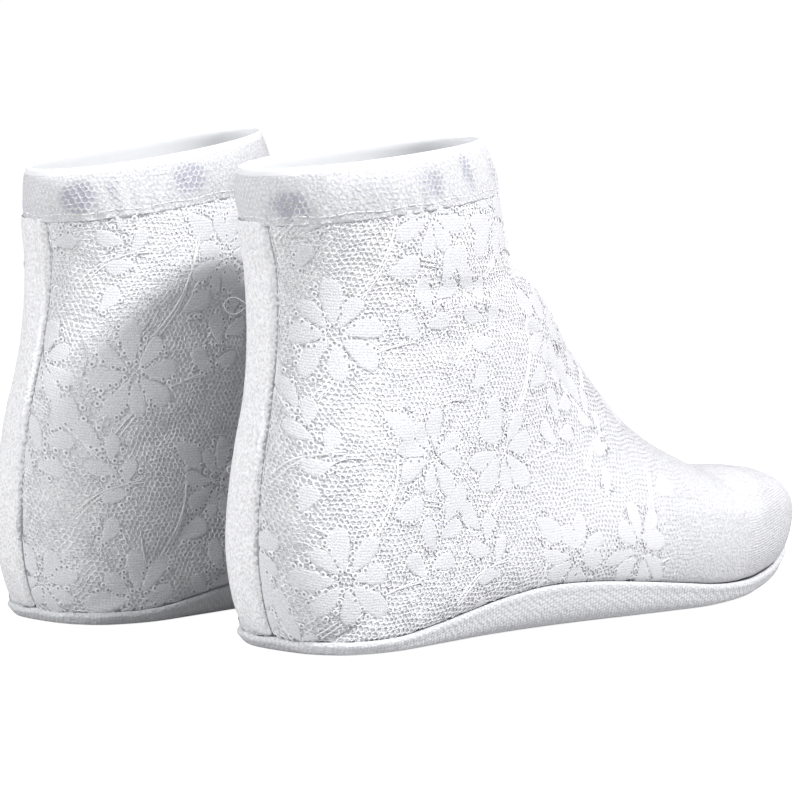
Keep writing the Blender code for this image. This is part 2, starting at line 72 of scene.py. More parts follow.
# Rings of the leg and foot, in a cover's own millimetres: y back from the middle of the foot, z up.
# The top is on the instep seam; the base is on the back seam, and from the heel on at the sole seam.
RING_COLUMNS = (
    "top_y", "top_z", "base_y", "base_z", "middle", "outer_widest", "outer_base",
    "inner_widest", "inner_base", "fullness", "over", "under", "split",
)
RINGS = (
    (26.0, 157.0, 113.0, 146.0, 0.0, 31.5, 0.0, 31.5, 0.0, 0.50, 2.15, 2.2, 0.0),  # rim of the cuff
    (19.5, 143.0, 111.0, 132.0, 0.0, 32.5, 0.0, 32.5, 0.0, 0.50, 2.15, 2.2, 0.0),  # foot of the cuff band
    (15.5, 129.5, 107.0, 116.0, 0.0, 33.0, 0.0, 33.0, 0.0, 0.50, 2.15, 2.2, 0.0),
    (10.5, 118.5, 107.0, 97.0, 0.0, 32.5, 0.0, 32.5, 0.0, 0.50, 2.15, 2.2, 0.0),  # narrowest, at the ankle
    (2.0, 115.0, 109.5, 78.0, 0.0, 32.0, 0.0, 32.0, 0.0, 0.50, 2.15, 2.35, 0.0),  # fold at the ankle's bend
    (-4.5, 109.5, 113.0, 59.5, 0.0, 33.0, 0.0, 33.0, 0.0, 0.495, 2.15, 2.6, 0.0),
    (-10.0, 104.5, 115.0, 42.0, 0.0, 33.5, 0.0, 33.5, 0.0, 0.485, 2.15, 2.8, 0.0),
    (-15.0, 98.5, 115.0, 26.0, 0.0, 33.8, 0.0, 33.8, 0.0, 0.47, 2.15, 2.95, 0.0),
    (-19.0, 93.5, 112.5, 12.5, 0.0, 34.0, 0.0, 34.0, 0.0, 0.455, 2.15, 3.0, 0.0),
    (-21.8, 90.5, 109.0, 4.2, 0.0, 34.2, 0.0, 34.2, 0.0, 0.445, 2.15, 3.0, 0.0),  # foot of the back seam
    (-23.6, 88.8, 106.5, 4.0, 0.0, 34.3, 15.5, 34.3, 15.5, 0.44, 2.15, 3.0, 0.0),
    (-27.2, 85.2, 98.5, 4.0, -0.2, 34.8, 25.4, 34.6, 25.3, 0.425, 2.15, 2.9, 0.0),
    (-33.0, 79.2, 83.0, 4.6, -0.6, 35.8, 30.9, 35.0, 30.4, 0.40, 2.15, 2.7, 0.0),
    (-39.6, 72.6, 62.0, 7.6, -1.4, 37.4, 32.5, 35.4, 30.5, 0.375, 2.18, 2.34, 0.0),
    (-46.0, 66.4, 40.0, 11.5, -2.6, 39.6, 34.5, 35.5, 30.0, 0.355, 2.22, 2.24, 0.0),
    (-52.0, 61.8, 18.0, 14.0, -4.0, 42.6, 38.0, 35.5, 30.0, 0.345, 2.28, 2.18, 0.0),
    (-57.6, 57.8, -4.0, 13.5, -5.6, 46.2, 42.0, 35.5, 30.5, 0.34, 2.35, 2.15, 0.0),
    (-62.8, 54.4, -26.0, 11.5, -7.2, 50.2, 46.5, 35.5, 31.5, 0.34, 2.45, 2.15, 0.0),
    (-67.6, 51.2, -46.0, 9.2, -8.6, 53.6, 50.0, 35.5, 32.5, 0.345, 2.55, 2.15, 0.0),
    (-71.6, 48.6, -60.0, 7.5, -9.5, 55.6, 52.0, 35.5, 33.0, 0.355, 2.65, 2.15, 0.0),
    (-75.5, 46.9, -69.5, 6.6, -10.0, 56.4, 52.6, 35.5, 33.2, 0.37, 2.7, 2.15, 0.0),
    (-79.0, 45.9, -76.0, 6.1, -10.0, 56.4, 52.2, 35.4, 33.1, 0.38, 2.75, 2.15, 0.15),  # the split opens
    (-82.2, 45.4, -81.0, 5.8, -10.0, 55.8, 51.6, 35.2, 32.8, 0.385, 2.8, 2.15, 0.55),
    (-85.5, 45.2, -85.0, 5.6, -10.0, 55.0, 50.6, 35.0, 32.5, 0.39, 2.8, 2.15, 0.88),
    (-88.5, 45.0, -88.0, 5.5, -10.0, 54.0, 49.8, 34.6, 32.2, 0.39, 2.8, 2.15, 1.0),  # two toes from here
)
BACK_SEAM_FOOT = 9
SPLIT_START = 20
SPLIT_END = 24

# Toes, each ring an arch of its own; the first five stand at the rings where the split opens.
TOE_COLUMNS = (
    "top_y", "top_z", "base_y", "base_z", "middle",
    "far_widest", "far_base", "slit_widest", "slit_base", "fullness", "over",
)
FOUR_TOES = (
    (-75.5, 45.2, -69.5, 6.6, 17.5, 29.0, 25.2, 27.5, 27.4, 0.42, 3.1),
    (-79.0, 44.6, -76.0, 6.1, 17.5, 28.9, 24.8, 27.5, 27.4, 0.42, 3.05),
    (-82.2, 44.1, -81.0, 5.8, 17.5, 28.4, 24.2, 27.5, 27.4, 0.42, 3.0),
    (-85.5, 43.6, -85.0, 5.6, 17.3, 27.8, 23.4, 27.3, 27.1, 0.43, 2.95),
    (-88.5, 43.0, -88.0, 5.5, 17.0, 27.2, 22.8, 26.8, 26.4, 0.43, 2.9),
    (-96.5, 41.0, -95.0, 5.6, 16.3, 26.2, 22.1, 25.4, 24.6, 0.44, 2.7),
    (-105.5, 38.4, -102.3, 6.1, 15.3, 25.0, 21.0, 23.6, 22.2, 0.45, 2.55),
    (-113.0, 34.4, -109.5, 7.3, 14.2, 22.8, 19.2, 21.2, 19.4, 0.455, 2.45),
    (-119.6, 28.8, -115.8, 9.0, 13.0, 19.2, 16.2, 17.8, 15.8, 0.455, 2.35),
    (-124.0, 22.2, -120.6, 11.0, 12.0, 14.2, 12.0, 13.2, 11.4, 0.46, 2.3),
    (-125.6, 16.4, -123.4, 12.4, 11.4, 8.0, 6.6, 7.5, 6.1, 0.46, 2.2),
    (-124.8, 13.0, -124.8, 13.0, 11.2, 0.0, 0.0, 0.0, 0.0, 0.46, 2.2),
)
BIG_TOE = (
    (-75.5, 45.9, -69.5, 6.6, -27.0, 18.5, 16.2, 17.0, 16.9, 0.42, 2.9),
    (-79.0, 45.5, -76.0, 6.1, -27.0, 18.4, 16.1, 17.0, 16.9, 0.42, 2.85),
    (-82.2, 45.2, -81.0, 5.8, -27.0, 18.2, 15.8, 17.0, 16.9, 0.42, 2.8),
    (-85.5, 44.9, -85.0, 5.6, -27.0, 18.0, 15.5, 16.9, 16.7, 0.43, 2.75),
    (-88.5, 44.6, -88.0, 5.5, -27.0, 17.8, 15.3, 16.6, 16.2, 0.43, 2.7),
    (-96.0, 43.4, -94.5, 5.6, -27.0, 17.2, 14.8, 15.9, 15.4, 0.44, 2.6),
    (-103.5, 41.0, -101.0, 6.1, -26.6, 16.2, 13.8, 15.0, 14.2, 0.45, 2.5),
    (-110.5, 36.6, -107.5, 7.3, -26.0, 14.4, 12.2, 13.6, 12.4, 0.46, 2.4),
    (-117.0, 30.2, -113.5, 9.0, -25.5, 12.0, 10.0, 11.6, 10.2, 0.46, 2.3),
    (-121.0, 23.2, -118.0, 11.0, -25.0, 8.9, 7.4, 8.7, 7.5, 0.46, 2.25),
    (-122.5, 17.0, -120.8, 12.4, -25.0, 5.1, 4.1, 5.1, 4.1, 0.46, 2.2),
    (-122.0, 13.0, -122.0, 13.0, -25.0, 0.0, 0.0, 0.0, 0.0, 0.46, 2.2),
)

# Squareness of a toe's arch below its widest, and beside the slit: 2 is an ellipse, more is squarer
TOE_SQUARENESS = 2.3
SLIT_SQUARENESS = 3.2

# The toes turn up a little, from this far ahead of the middle to the tip
SPRING_START = -52.0
SPRING_REACH = 70.0
TOE_SPRING = 9.5

# Divisions of the cloth
ARC_POINTS = 90
CLOTH_STRETCHES = ((1, 5, 34), (5, 9, 34), (9, 11, 18), (11, 20, 66), (20, 24, 18), (24, 31, 44))
CLOTH_COLUMNS = 85
TOE_NORMAL = (0, -1, 0)
LINING_DEPTH = 0.5  # the lining lies this far under the solid's face, in millimetres
LINING_WALL = 0.7
LACE_CLEAR = 0.12  # the lace lies this far over the lining

# Pattern coordinates: x towards the toes, y up, in millimetres. The lace is drawn in towards the toes.
DRAWN_FROM = -20.0
DRAWN_OVER = 260.0
DRAWN_LIMIT = 0.8  # the most that the lace is drawn in, as a share of that

# Net
CELL_WIDTH = 1.86
CELL_RISE = 1.52
CELL_UNIT = (CELL_WIDTH / 2, CELL_RISE / 3)
CELL_CORNERS = ((0, 2), (1, 1), (1, -1), (0, -2), (-1, -1), (-1, 1))  # from a cell's middle, in those units
CELL_LIMIT = 4.0  # a cell stretched past this is left out
THREAD_HEIGHT = 0.3
HOLE_HEIGHT = 0.04
HOLE_SHARE = 0.72
HOLE_LEAST = 0.1  # of that share, where the net closes up
PETAL_OVERLAP = 1.3  # the net runs this far under a petal's edge
NET_WOBBLE = 0.21
NET_PULL = 0.45
HOLE_UNEVEN = 0.16
WOBBLE_WAVES = ((7.3, 3.9), (2.7, 8.1))
PULL_WAVES = ((0.31, 0.42), (-0.37, 0.29))
HOLE_WAVES = ((3.1, 5.3), (1.3, -2.1))

# Motifs of one repeat of the lace: kind, x, y, turn in degrees, size
REPEAT_WIDTH = 64.0
REPEAT_HEIGHT = 74.0
MOTIF_REACH = 20.0  # a motif this far outside a panel may still reach into it
MOTIFS = (
    ("flower", 15.0, 17.0, 8.0, 1.0),
    ("flower", 47.0, 54.0, -14.0, 0.86),
    ("spray", 44.0, 16.0, 62.0, 1.0),
    ("spray", 12.0, 52.0, 118.0, 0.9),
    ("leaf", 31.0, 36.0, 20.0, 1.0),
    ("leaf", 60.0, 34.0, 100.0, 0.9),
    ("leaf", 29.0, 68.0, -35.0, 1.1),
    ("leaf", 2.0, 36.0, 60.0, 0.8),
)
# A flower's petals: start, length and width. Leaves: along, aside, turn, length and width
FLOWER_PETALS = 8
FLOWER_PETAL = (2.6, 13.4, 6.9)
LEAVES = {
    "spray": (
        (0.0, 0.0, 72.0, 11.0, 6.2),
        (4.0, 0.0, -52.0, 10.0, 5.8),
        (9.0, 0.6, 48.0, 11.5, 6.4),
        (13.5, 0.8, -40.0, 10.5, 6.0),
        (18.5, 1.0, 8.0, 12.5, 6.8),
    ),
    "leaf": ((0.0, 0.0, 0.0, 12.5, 7.2),),
}
PETAL_STRAYS = 5.0  # a flower's petals differ by this many degrees, and by these shares of their size
PETAL_LONGER = 0.14
PETAL_WIDER = 0.16
STEMS = (  # start x, start y, end x, end y, bow, of one repeat
    (6.0, -6.0, 44.0, 16.0, 5.0),
    (20.0, 26.0, 34.0, 60.0, -4.0),
    (40.0, 40.0, 66.0, 26.0, 4.0),
    (-6.0, 44.0, 16.0, 56.0, 3.0),
)

# Where each panel's lace starts in the repeat, and the seed of its stray threads
LACE_SHIFTS = {
    "outer_panel_R": (9.0, 6.0), "inner_panel_R": (31.0, 22.0),
    "outer_panel_L": (-17.0, 12.0), "inner_panel_L": (22.0, -9.0),
}
LACE_SEEDS = {"outer_panel_R": 11, "inner_panel_R": 12, "outer_panel_L": 13, "inner_panel_L": 14}

# The margin that tucks what lies over a panel's edge into its seam
MARGIN = 2.6
MARGIN_TUCK = 0.25
MARGIN_SINK = 0.35

# Where the net closes up: towards the toes, and on one panel of each cover beside the back seam
FINE_FROM = -45.0
FINE_OVER = 135.0
TOE_FINENESS = 0.05
NET_END = 96.0  # past this the lace is so fine that it is a texture of the lining
PLAIN_UNTIL = -106.0
PLAIN_OVER = 16.0
PLAIN_FINENESS = 0.12
MOTIFS_END = 41.0
THREADS_END = 34.0
EYELETS_END = 36.0

# Petals: sections along and across, their rise, and the thread round the edge
PETAL_ALONG = tuple(0.02 + 0.965 * step / 14 for step in range(15))
PETAL_ACROSS = (-1.0, -0.9, -0.72, -0.3, 0.0, 0.3, 0.72, 0.9, 1.0)
PETAL_RISE_ACROSS = (0.04, 0.24, 0.3, 0.27, 0.29, 0.27, 0.3, 0.24, 0.04)
PETAL_LOW = 0.02
PETAL_END_SLOPE = 6.0
PETAL_END_RISE = 0.3
PETAL_FULLEST = 1.5
PETAL_BLUNTNESS = 0.55
PETAL_BOW = 0.09
PETAL_UNEVEN = 0.1

# Eyelets as rings of (radius, height), and dark discs of painted shade at their floors
EYELET_SIDES = 8
EYELET_RINGS = ((0.42, 0.33), (0.62, 0.36), (1.1, 0.22))
EYELET_FLOOR = 0.5
EYELET_FLOOR_HEIGHT = 0.35
EYELETS_BETWEEN = (3.4, 1.8, 5)  # between a flower's petals: first, apart and how many
EYELET_STRAYS = 3.0
EYELETS_BESIDE = (0.08, 0.15)  # beside a petal: first and apart, as shares of its length
FLOWER_EYELETS = 6
LEAF_EYELETS = 5
EYELET_LEFT_OUT = -0.3  # eyelets where a wave from -1 to 1 is under this aren't made
EYELET_UNDER = 0.3  # an eyelet may lie this far under a petal's edge
EYELET_ASIDE = 0.75
EYELET_APART = 1.9
EYELET_CLEARS = 1.0

# Stems in pairs, stray threads and stitches; each thread has a half width and a height
STEM_POINTS = 40
STEM_GAP = 1.7
STEM_THREAD = (0.26, 0.48)
STEM_CLOSING = 2.2  # radians; the two threads of a stem cross on their way
STRAYS = 60
STRAY_POINTS = 9
STRAY_LENGTH = (4.0, 15.0)
STRAY_TURN = 1.6
STRAY_THREAD = (0.13, 0.62)
THREAD_EDGE_HEIGHT = 0.06
THREAD_UNDER = 0.5  # a thread goes on this far under a petal
THREAD_LIMIT = 6.0  # a thread stretched past this is left out
STITCH_POINTS = 5
STITCH_PITCH = 2.8
STITCH_LENGTH = 2.1
STITCH_UP = 1.1
STITCH_STRAYS = 0.25
STITCH_THREAD = (0.2, 0.32)

# Seams and folds of the side panels: a groove or ridge's height, its middle from the seam and half width
BACK_GROOVE = (-0.3, 0.0, 0.7)
PLAIN_GROOVE = (-1.3, 0.0, 1.2)  # on the plain side of the back seam, with a ridge beside it
BACK_RIDGE = (0.6, 3.4, 1.3)
BACK_FULLNESS = (2.2, 18.0, 12.0)
BACK_FULL_HEIGHT = (112.0, 42.0)
SOLE_GROOVE = (-0.8, 0.0, 1.0)
FRONT_GROOVE = (-0.7, 0.0, 1.0)
PLAIN_BARE = 1.7
PLAIN_SINK = 0.5
# the half width of the painted shadow along the plain side of the back seam, in millimetres
SEAM_SHADE_WIDTH = 0.8
UNEVENNESS = 0.25
UNEVEN_REACH = (11.0, 13.0)
FOLD_WANDER = 1.2
FOLD_WANDER_REACH = 9.0
FOLDS = (  # flat x, flat y, turn in degrees, half length, half width, depth; minus is a trough
    (-55.0, 112.0, 4.0, 26.0, 3.0, -1.1),
    (-38.0, 104.0, -8.0, 22.0, 2.6, 0.9),
    (-20.0, 96.0, -22.0, 20.0, 2.6, -1.2),
    (-8.0, 88.0, -30.0, 18.0, 2.2, 0.6),
    (0.0, 80.0, -34.0, 22.0, 2.6, -1.0),
    (-70.0, 88.0, 10.0, 22.0, 3.4, 0.6),
    (-84.0, 60.0, 24.0, 16.0, 3.0, -0.6),
    (-72.0, 30.0, 34.0, 16.0, 2.6, -0.5),
    (38.0, 40.0, -12.0, 20.0, 2.8, -0.5),
    (62.0, 32.0, -8.0, 18.0, 2.4, 0.4),
    (85.0, 34.0, -14.0, 14.0, 2.2, -0.5),
)

# Sole
SOLE_STRETCHES = ((9, 11, 28), (11, 20, 60), (20, 24, 24), (24, 31, 56))
SEAM_COLUMNS = 9
SOLE_TURN = (0.0, 0.06, 0.13, 0.2, 0.28, 0.38, 0.5, 0.64, 0.8, 1.0)
SOLE_CLOTH_WALL = 1.4
SOLE_EDGE_RISE = 0.25
EDGE_ROLL = (0.75, 1.3, 1.1)  # a ridge: its height, its middle down from the rim and its half width
EDGE_GATHER = 0.12
EDGE_GATHER_PITCH = 3.1
EDGE_GATHER_REACH = 3.0
SOLE_CUTS = 24
SOLE_BUMP_PITCH = 1.15
SOLE_SLANT = (28.0, 35.0, 40.0)
SOLE_RANDOMNESS = 0.35

# Cuff band
BAND_STATIONS = 380
BAND_SHARES = tuple(1.07 * step / 18 for step in range(19))
BAND_HEIGHT = 14.0
BAND_PUFF_FROM = 0.03
BAND_PUFF_TO = 0.95
BAND_PUFF_POWER = 0.7
BAND_BULGE = 1.1
BAND_INSET = 0.35
BAND_INSIDE = 3.1
RIM_STEPS = 5
RIM_RISE = 2.4
INSIDE_PATTERN = -60.0  # the inside of the casing takes its own, plainer part of the pattern
BAND_SWELL = 0.35
BAND_SWELLS = 4
BAND_STREAK = 0.10
BAND_STREAKS = 23
BAND_FINENESS = 0.42
PUCKERS = 38
PUCKER_DEPTH = 0.5
PUCKER_WANDER = 1.3
PUCKER_EVEN = 0.6
PUCKER_REACH = 0.32
ELASTIC_AND_SHADE_SHOWS = {  # grey of the elastic and painted shade of the dark inside, showing through the casing where its net opens; places round the casing from the front seam: along, up, half sizes, strength
    "R": (
        (112.0, 4.2, 8.0, 4.4, 1.2), (85.0, 7.0, 9.0, 4.5, 0.55), (65.0, 6.5, 6.5, 5.0, 0.85),
        (47.5, 7.5, 3.2, 7.0, 1.0), (30.0, 6.0, 6.0, 4.0, 0.8), (160.0, 6.0, 7.0, 4.0, 0.9),
        (205.0, 7.0, 6.0, 5.0, 0.8),
    ),
    "L": (
        (134.5, 6.0, 7.0, 5.5, 1.1), (145.5, 7.5, 2.5, 5.0, 0.9), (172.0, 7.0, 8.0, 5.5, 1.0),
        (204.0, 6.0, 4.0, 4.0, 0.7), (84.0, 6.0, 7.0, 4.0, 0.9), (50.0, 7.0, 5.0, 5.0, 0.8),
        (22.0, 6.0, 6.0, 4.0, 0.7),
    ),
}

# Loops of pulled thread: pattern x, y and size, and their shape as millimetres out and up
PULLED = {"R": ((-88.0, 105.0, 1.0), (-94.0, 53.0, 0.45)), "L": ((-96.0, 30.0, 0.6),)}
PULLED_OUT = (0.72, 0.69, 0.0)  # the direction that is out, on the right cover
PULLED_SHAPE = (
    (-1.0, 2.6), (3.8, 0.2), (8.0, -2.6), (11.2, -1.8), (11.6, 1.2), (8.4, 2.6), (3.6, -0.2), (-1.0, -2.8),
)
PULLED_STEPS = 10
PULLED_RADIUS = 0.1
PULLED_FOOT = 0.2  # the height that they start at
TUBE_SIDES = 6
TUBE_START = (0.3, 0.2, 0.93)  # the first side of a tube is square to this and to the thread

# Materials: roughness, sheen and specular
FINISHES = {
    "lining": (0.85, 0.0, 0.15),
    "net": (0.75, 0.25, 0.2),
    "petals": (0.7, 0.2, 0.2),
    "eyelet_shade": (0.9, 0.0, 0.2),
    "gimp": (0.6, 0.2, 0.2),
    "band": (0.8, 0.2, 0.15),
    "sole_cloth": (0.8, 0.2, 0.2),
    "pale_floor": (1.0, 0.0, 0.2),
}

# Where a material's first colour ends and its second begins, and its bump's depth in millimetres and strength
COLOUR_STOPS = {
    "lining": (0.4, 0.62), "net": (0.3, 0.65), "petals": (0.35, 0.75), "band": (0.08, 0.45),
    "sole_cloth": (0.25, 0.75),
}
BUMPS = {
    "lining": (0.55, 0.8), "net": (0.6, 0.9), "petals": (0.35, 0.6), "band": (0.5, 0.3),
    "sole_cloth": (0.5, 0.7),
}

# Rows as how many a centimetre and how much they wander; patches as how many a centimetre
LINING_PATCHES = 0.9
KNIT_ROWS = (3.2, 2.5)
KNIT = 0.25  # how much the knit counts beside the fuzz
PETAL_RIBS = (3.5, 3.2)
PETAL_STITCHES = (15.0, 2.0)
PETAL_STRETCH = (1.3, 1)
PETAL_ROWS = 0.15  # how much the ribs count beside the stitches
BAND_PATCHES = (1.5, 2.0)
BAND_PATCH_STRETCH = (0.9, 0.45)
BAND_LINES = (2.6, 3.0)
BAND_LINE_STRETCH = (1, 0.25)
BAND_STREAKED = 0.09
WAVE_DETAIL = 1.5

# Colours
# The lining is greyer than the net: painted shade in the net's holes, lighter and darker in patches
LINING_DARK = (0.69, 0.70, 0.725)
LINING_LIGHT = (0.82, 0.83, 0.845)
LINING_MIDDLE = (0.76, 0.765, 0.785)
LINING_MIDDLE_PALES = (-10.5, 0.0)
LINING_TOE = (0.72, 0.725, 0.745)
LINING_PALES = (-2.0, 6.0)
LINING_PAINTED_LIGHT = (0.87, 0.875, 0.885)  # painted light: the lining is whiter higher up the leg, towards the cuff
LINING_PAINTED_LIGHT_PALES = (8.0, 13.5)
FUZZ_SCALE = 1050.0  # grains a metre
GRAIN = 0.82  # the darker grains of the cloth, as a share of its colour
GRAIN_BETWEEN = (0.35, 0.6)  # from this height of the fuzz down it is darkest, and from this up not at all
PETAL_DARK = (0.55, 0.56, 0.59)
PETAL_LIGHT = (0.80, 0.805, 0.82)
NET_DARK = (0.86, 0.865, 0.885)
NET_LIGHT = (0.94, 0.945, 0.955)
NET_TOE = (0.70, 0.705, 0.725)
NET_PALES = (-6.0, 5.0)
# painted shade: the dark disc at the bottom of each eyelet
EYELET_SHADE = (0.34, 0.35, 0.39)
# painted shadow in the groove of the back seam
SEAM_SHADE = (0.24, 0.25, 0.29)
THREAD_WHITE = (0.88, 0.885, 0.895)
BAND_LIGHT = (0.81, 0.82, 0.835)
# the grey of the elastic and of painted shade, seen through the casing
BAND_DARK = (0.44, 0.45, 0.52)
SOLE_DARK = (0.59, 0.60, 0.62)
SOLE_LIGHT = (0.76, 0.765, 0.78)

# Camera and studio
CAMERA_PLACE = (-0.698, 0.7355, 0.1454)
CAMERA_DOWN = 4.3036
CAMERA_TURN = 223.4478
CAMERA_LENS = 132.653
CAMERA_SENSOR = 36.0
FLOOR_SIZE = 6.0
FLOOR_DROP = 0.0005
FLOOR_COLOUR = (0.5, 0.5, 0.5)
FLOOR_GLOW = 0.02
FLOOR_SEEN_GLOW = 0.95
WORLD_COLOUR = (1.0, 0.965, 1.02, 1)
WORLD_STRENGTH = 0.115
BACKDROP_STRENGTH = 1.05
LIGHT_AIM = (0.0, 0.0, 0.07)
LIGHTS = (  # name, place, size, power, colour
    ("key", (-1.11, -0.12, 1.22), 0.22, 30.5, (0.99, 0.985, 1.0)),
    ("heels", (1.45, 0.85, 0.8), 0.8, 10.5, (0.98, 0.98, 1.0)),
    ("top", (0.0, 0.1, 1.7), 1.2, 3.0, (1.0, 1.0, 1.0)),
    ("fill", (-0.1, 1.45, 0.95), 0.7, 15.0, (1.0, 1.0, 1.0)),
)


def row_at(table, place):
    """The table's row at a place between its rows, on a smooth curve through them."""
    values = np.array(table)
    last = len(values) - 1
    low = min(max(int(math.floor(place)), 0), last - 1)
    share = place - low
    before, start, end, after = (values[min(max(low + step, 0), last)] for step in (-1, 0, 1, 2))
    slope_in = (end - before) / 2
    slope_out = (after - start) / 2
    cubic = 2 * start - 2 * end + slope_in + slope_out
    square = -3 * start + 3 * end - 2 * slope_in - slope_out
    return ((cubic * share + square) * share + slope_in) * share + start


def half_arch(top, base, widest, base_width, fullness, over, under):
    """One side of a ring as rows of (sideways, y, z), from the top down to the base.

    It is widest at the share fullness of its height; over and under are its squareness above and below.
    """
    top = np.array(top)
    base = np.array(base)
    height = np.linalg.norm(top - base)
    belly = fullness * height
    angles = np.linspace(0, math.pi / 2, ARC_POINTS)
    over_side = widest * np.sin(angles) ** (2 / over)
    over_rise = belly + (height - belly) * np.cos(angles) ** (2 / over)
    kept = 1 - (base_width / max(widest, TINY)) ** under
    drop = np.sin(angles) ** (2 / under)
    under_side = widest * np.maximum(1 - kept * drop**under, 0) ** (1 / under)
    under_rise = belly * (1 - drop)
    side = np.concatenate([over_side, under_side[1:]])
    rise = np.concatenate([over_rise, under_rise[1:]])
    up = (top - base) / max(height, TINY)
    yz = base + np.outer(rise, up)
    return np.column_stack([side, yz])


def lengths_along(points):
    steps = np.linalg.norm(np.diff(points, axis=0), axis=1)
    return np.concatenate([[0], np.cumsum(steps)])


def spaced(points, count, knee=0.0, share=0.0):
    """The same curve as count points, evenly spaced up to its knee and again after it.

    The knee is a length along the curve, and share is the share of the points that go before it.
    """
    along = lengths_along(points)
    if along[-1] < TINY:
        return np.repeat(points[:1], count, axis=0)
    wanted = np.linspace(0, along[-1], count)
    if knee:
        wanted = np.interp(np.linspace(0, 1, count), (0, share, 1), (0, knee, along[-1]))
    return np.column_stack([np.interp(wanted, along, points[:, k]) for k in range(3)])


def sole_width(place, name):
    """Half the sole's width at a ring; its square is what changes evenly, so that the heel is round."""
    column = RING_COLUMNS.index(name + "_base")
    squares = [(row[column] ** 2,) for row in RINGS]
    return math.sqrt(max(row_at(squares, place)[0], 0)) if place > BACK_SEAM_FOOT else 0


def whole_ring(place, outward):
    """One half of an undivided ring: outward is +1 for the outer side and -1 for the inner side."""
    ring = dict(zip(RING_COLUMNS, row_at(RINGS, place)))
    name = "outer" if outward > 0 else "inner"
    base_width = sole_width(place, name)
    arch = half_arch(
        (ring["top_y"], ring["top_z"]), (ring["base_y"], ring["base_z"]),
        ring[name + "_widest"], base_width, ring["fullness"], ring["over"], ring["under"],
    )
    arch[:, 0] = ring["middle"] + outward * arch[:, 0]
    return arch, min(max(ring["split"], 0), 1)


def toe_ring(place, outward):
    """A toe's arch from the foot of the slit, over its top, to the far seam."""
    table = FOUR_TOES if outward > 0 else BIG_TOE
    toe = dict(zip(TOE_COLUMNS, row_at(table, place - SPLIT_START)))
    top = (toe["top_y"], toe["top_z"])
    base = (toe["base_y"], toe["base_z"])
    far_widest = max(toe["far_widest"], 0)
    slit_widest = max(toe["slit_widest"], 0)
    far = half_arch(top, base, far_widest, min(max(toe["far_base"], 0), far_widest),
                    toe["fullness"], toe["over"], TOE_SQUARENESS)
    slit = half_arch(top, base, slit_widest, min(max(toe["slit_base"], 0), slit_widest),
                     toe["fullness"], SLIT_SQUARENESS, SLIT_SQUARENESS)
    far[:, 0] = toe["middle"] + outward * far[:, 0]
    slit[:, 0] = toe["middle"] - outward * slit[:, 0]
    return np.concatenate([slit[::-1], far[1:]]), lengths_along(slit)[-1]


def panel_ring(place, outward, columns):
    """A ring of a side panel, from its front edge to its back or sole edge.

    Where the split opens, the toe's crown is matched with the point of the whole ring above it.
    """
    if place <= SPLIT_START:
        return spaced(whole_ring(place, outward)[0], columns)
    toe, crown = toe_ring(place, outward)
    if place >= SPLIT_END:
        return spaced(toe, columns)
    whole, split = whole_ring(place, outward)
    along = lengths_along(whole)
    crown_side = np.interp(crown, lengths_along(toe), toe[:, 0])
    over_crown = np.interp(outward * crown_side, outward * whole[:, 0][: ARC_POINTS],
                           along[: ARC_POINTS])
    opened = (place - SPLIT_START) / (SPLIT_END - SPLIT_START)
    share = (1 - opened) * over_crown / along[-1] + opened * crown / lengths_along(toe)[-1]
    matched = spaced(whole, columns, over_crown, share)
    return (1 - split) * matched + split * spaced(toe, columns, crown, share)


def unit(vectors):
    lengths = np.linalg.norm(vectors, axis=-1, keepdims=True)
    return vectors / np.maximum(lengths, 1e-12)


def outward_normals(grid, outward):
    """Unit normals of a grid of points, pointing away from the foot."""
    down = np.gradient(grid, axis=0)
    across = np.gradient(grid, axis=1)
    return unit(np.cross(down, across) * outward)


def toe_spring(y):
    """How far the toes turn up at y."""
    share = np.clip((SPRING_START - y) / SPRING_REACH, 0, 1)
    return TOE_SPRING * share**2


def posed(points, side):
    """A cover's own points in the object's frame; side is -1 for the right cover and +1 for the left."""
    world = np.array(points, dtype=float)
    world[:, 2] += toe_spring(world[:, 1])
    if side > 0:
        leg = np.clip((world[:, 2] - LEAN_START) / LEAN_REACH, 0, None)
        front = np.clip((LEAN_BACK - world[:, 1]) / LEAN_DEPTH, 0, 1)
        world[:, 1] -= FAR_LEAN * leg
        world[:, 2] += FAR_RISE * leg * front
    world[:, 0] = side * (FOOT_SPACING / 2 + world[:, 0])
    world[:, 1] += MIDDLE_SHIFT + FAR_SHIFT * side / 2
    return world


def divided(stretches):
    """Places along the rings, with the steps that each stretch gives."""
    runs = [np.linspace(first, last, steps + 1) for first, last, steps in stretches]
    return np.unique(np.round(np.concatenate(runs), 5))


def flattened(grid, places, outward):
    """Each ring laid out straight from its widest point, seen from the side: x towards the toes, y up."""
    flat = np.zeros(grid.shape[:2] + (2,))
    for i, ring in enumerate(grid):
        along = lengths_along(ring)
        widest = int(np.argmax(outward * ring[:, 0]))
        crown = int(np.argmax(ring[:, 2])) if places[i] > SPLIT_START else 0
        run = ring[-1, 1:] - ring[crown, 1:]
        run = run / max(np.linalg.norm(run), TINY)
        flat[i] = ring[widest, 1:] + np.outer(along - along[widest], run)
    flat[..., 0] *= -1
    return flat


def bump_at(distance, middle, half_width):
    """A soft rise of height 1 round a distance."""
    return np.exp(-(((distance - middle) / half_width) ** 2))


def drawn(pattern):
    """Pattern coordinates to flat ones: the lace is drawn in towards the toes."""
    flat = np.array(pattern, dtype=float)
    ahead = np.maximum(flat[..., 0] - DRAWN_FROM, 0)
    drawn_in = DRAWN_FROM + DRAWN_OVER * (1 - np.exp(-ahead / DRAWN_OVER))
    flat[..., 0] = np.where(flat[..., 0] > DRAWN_FROM, drawn_in, flat[..., 0])
    return flat


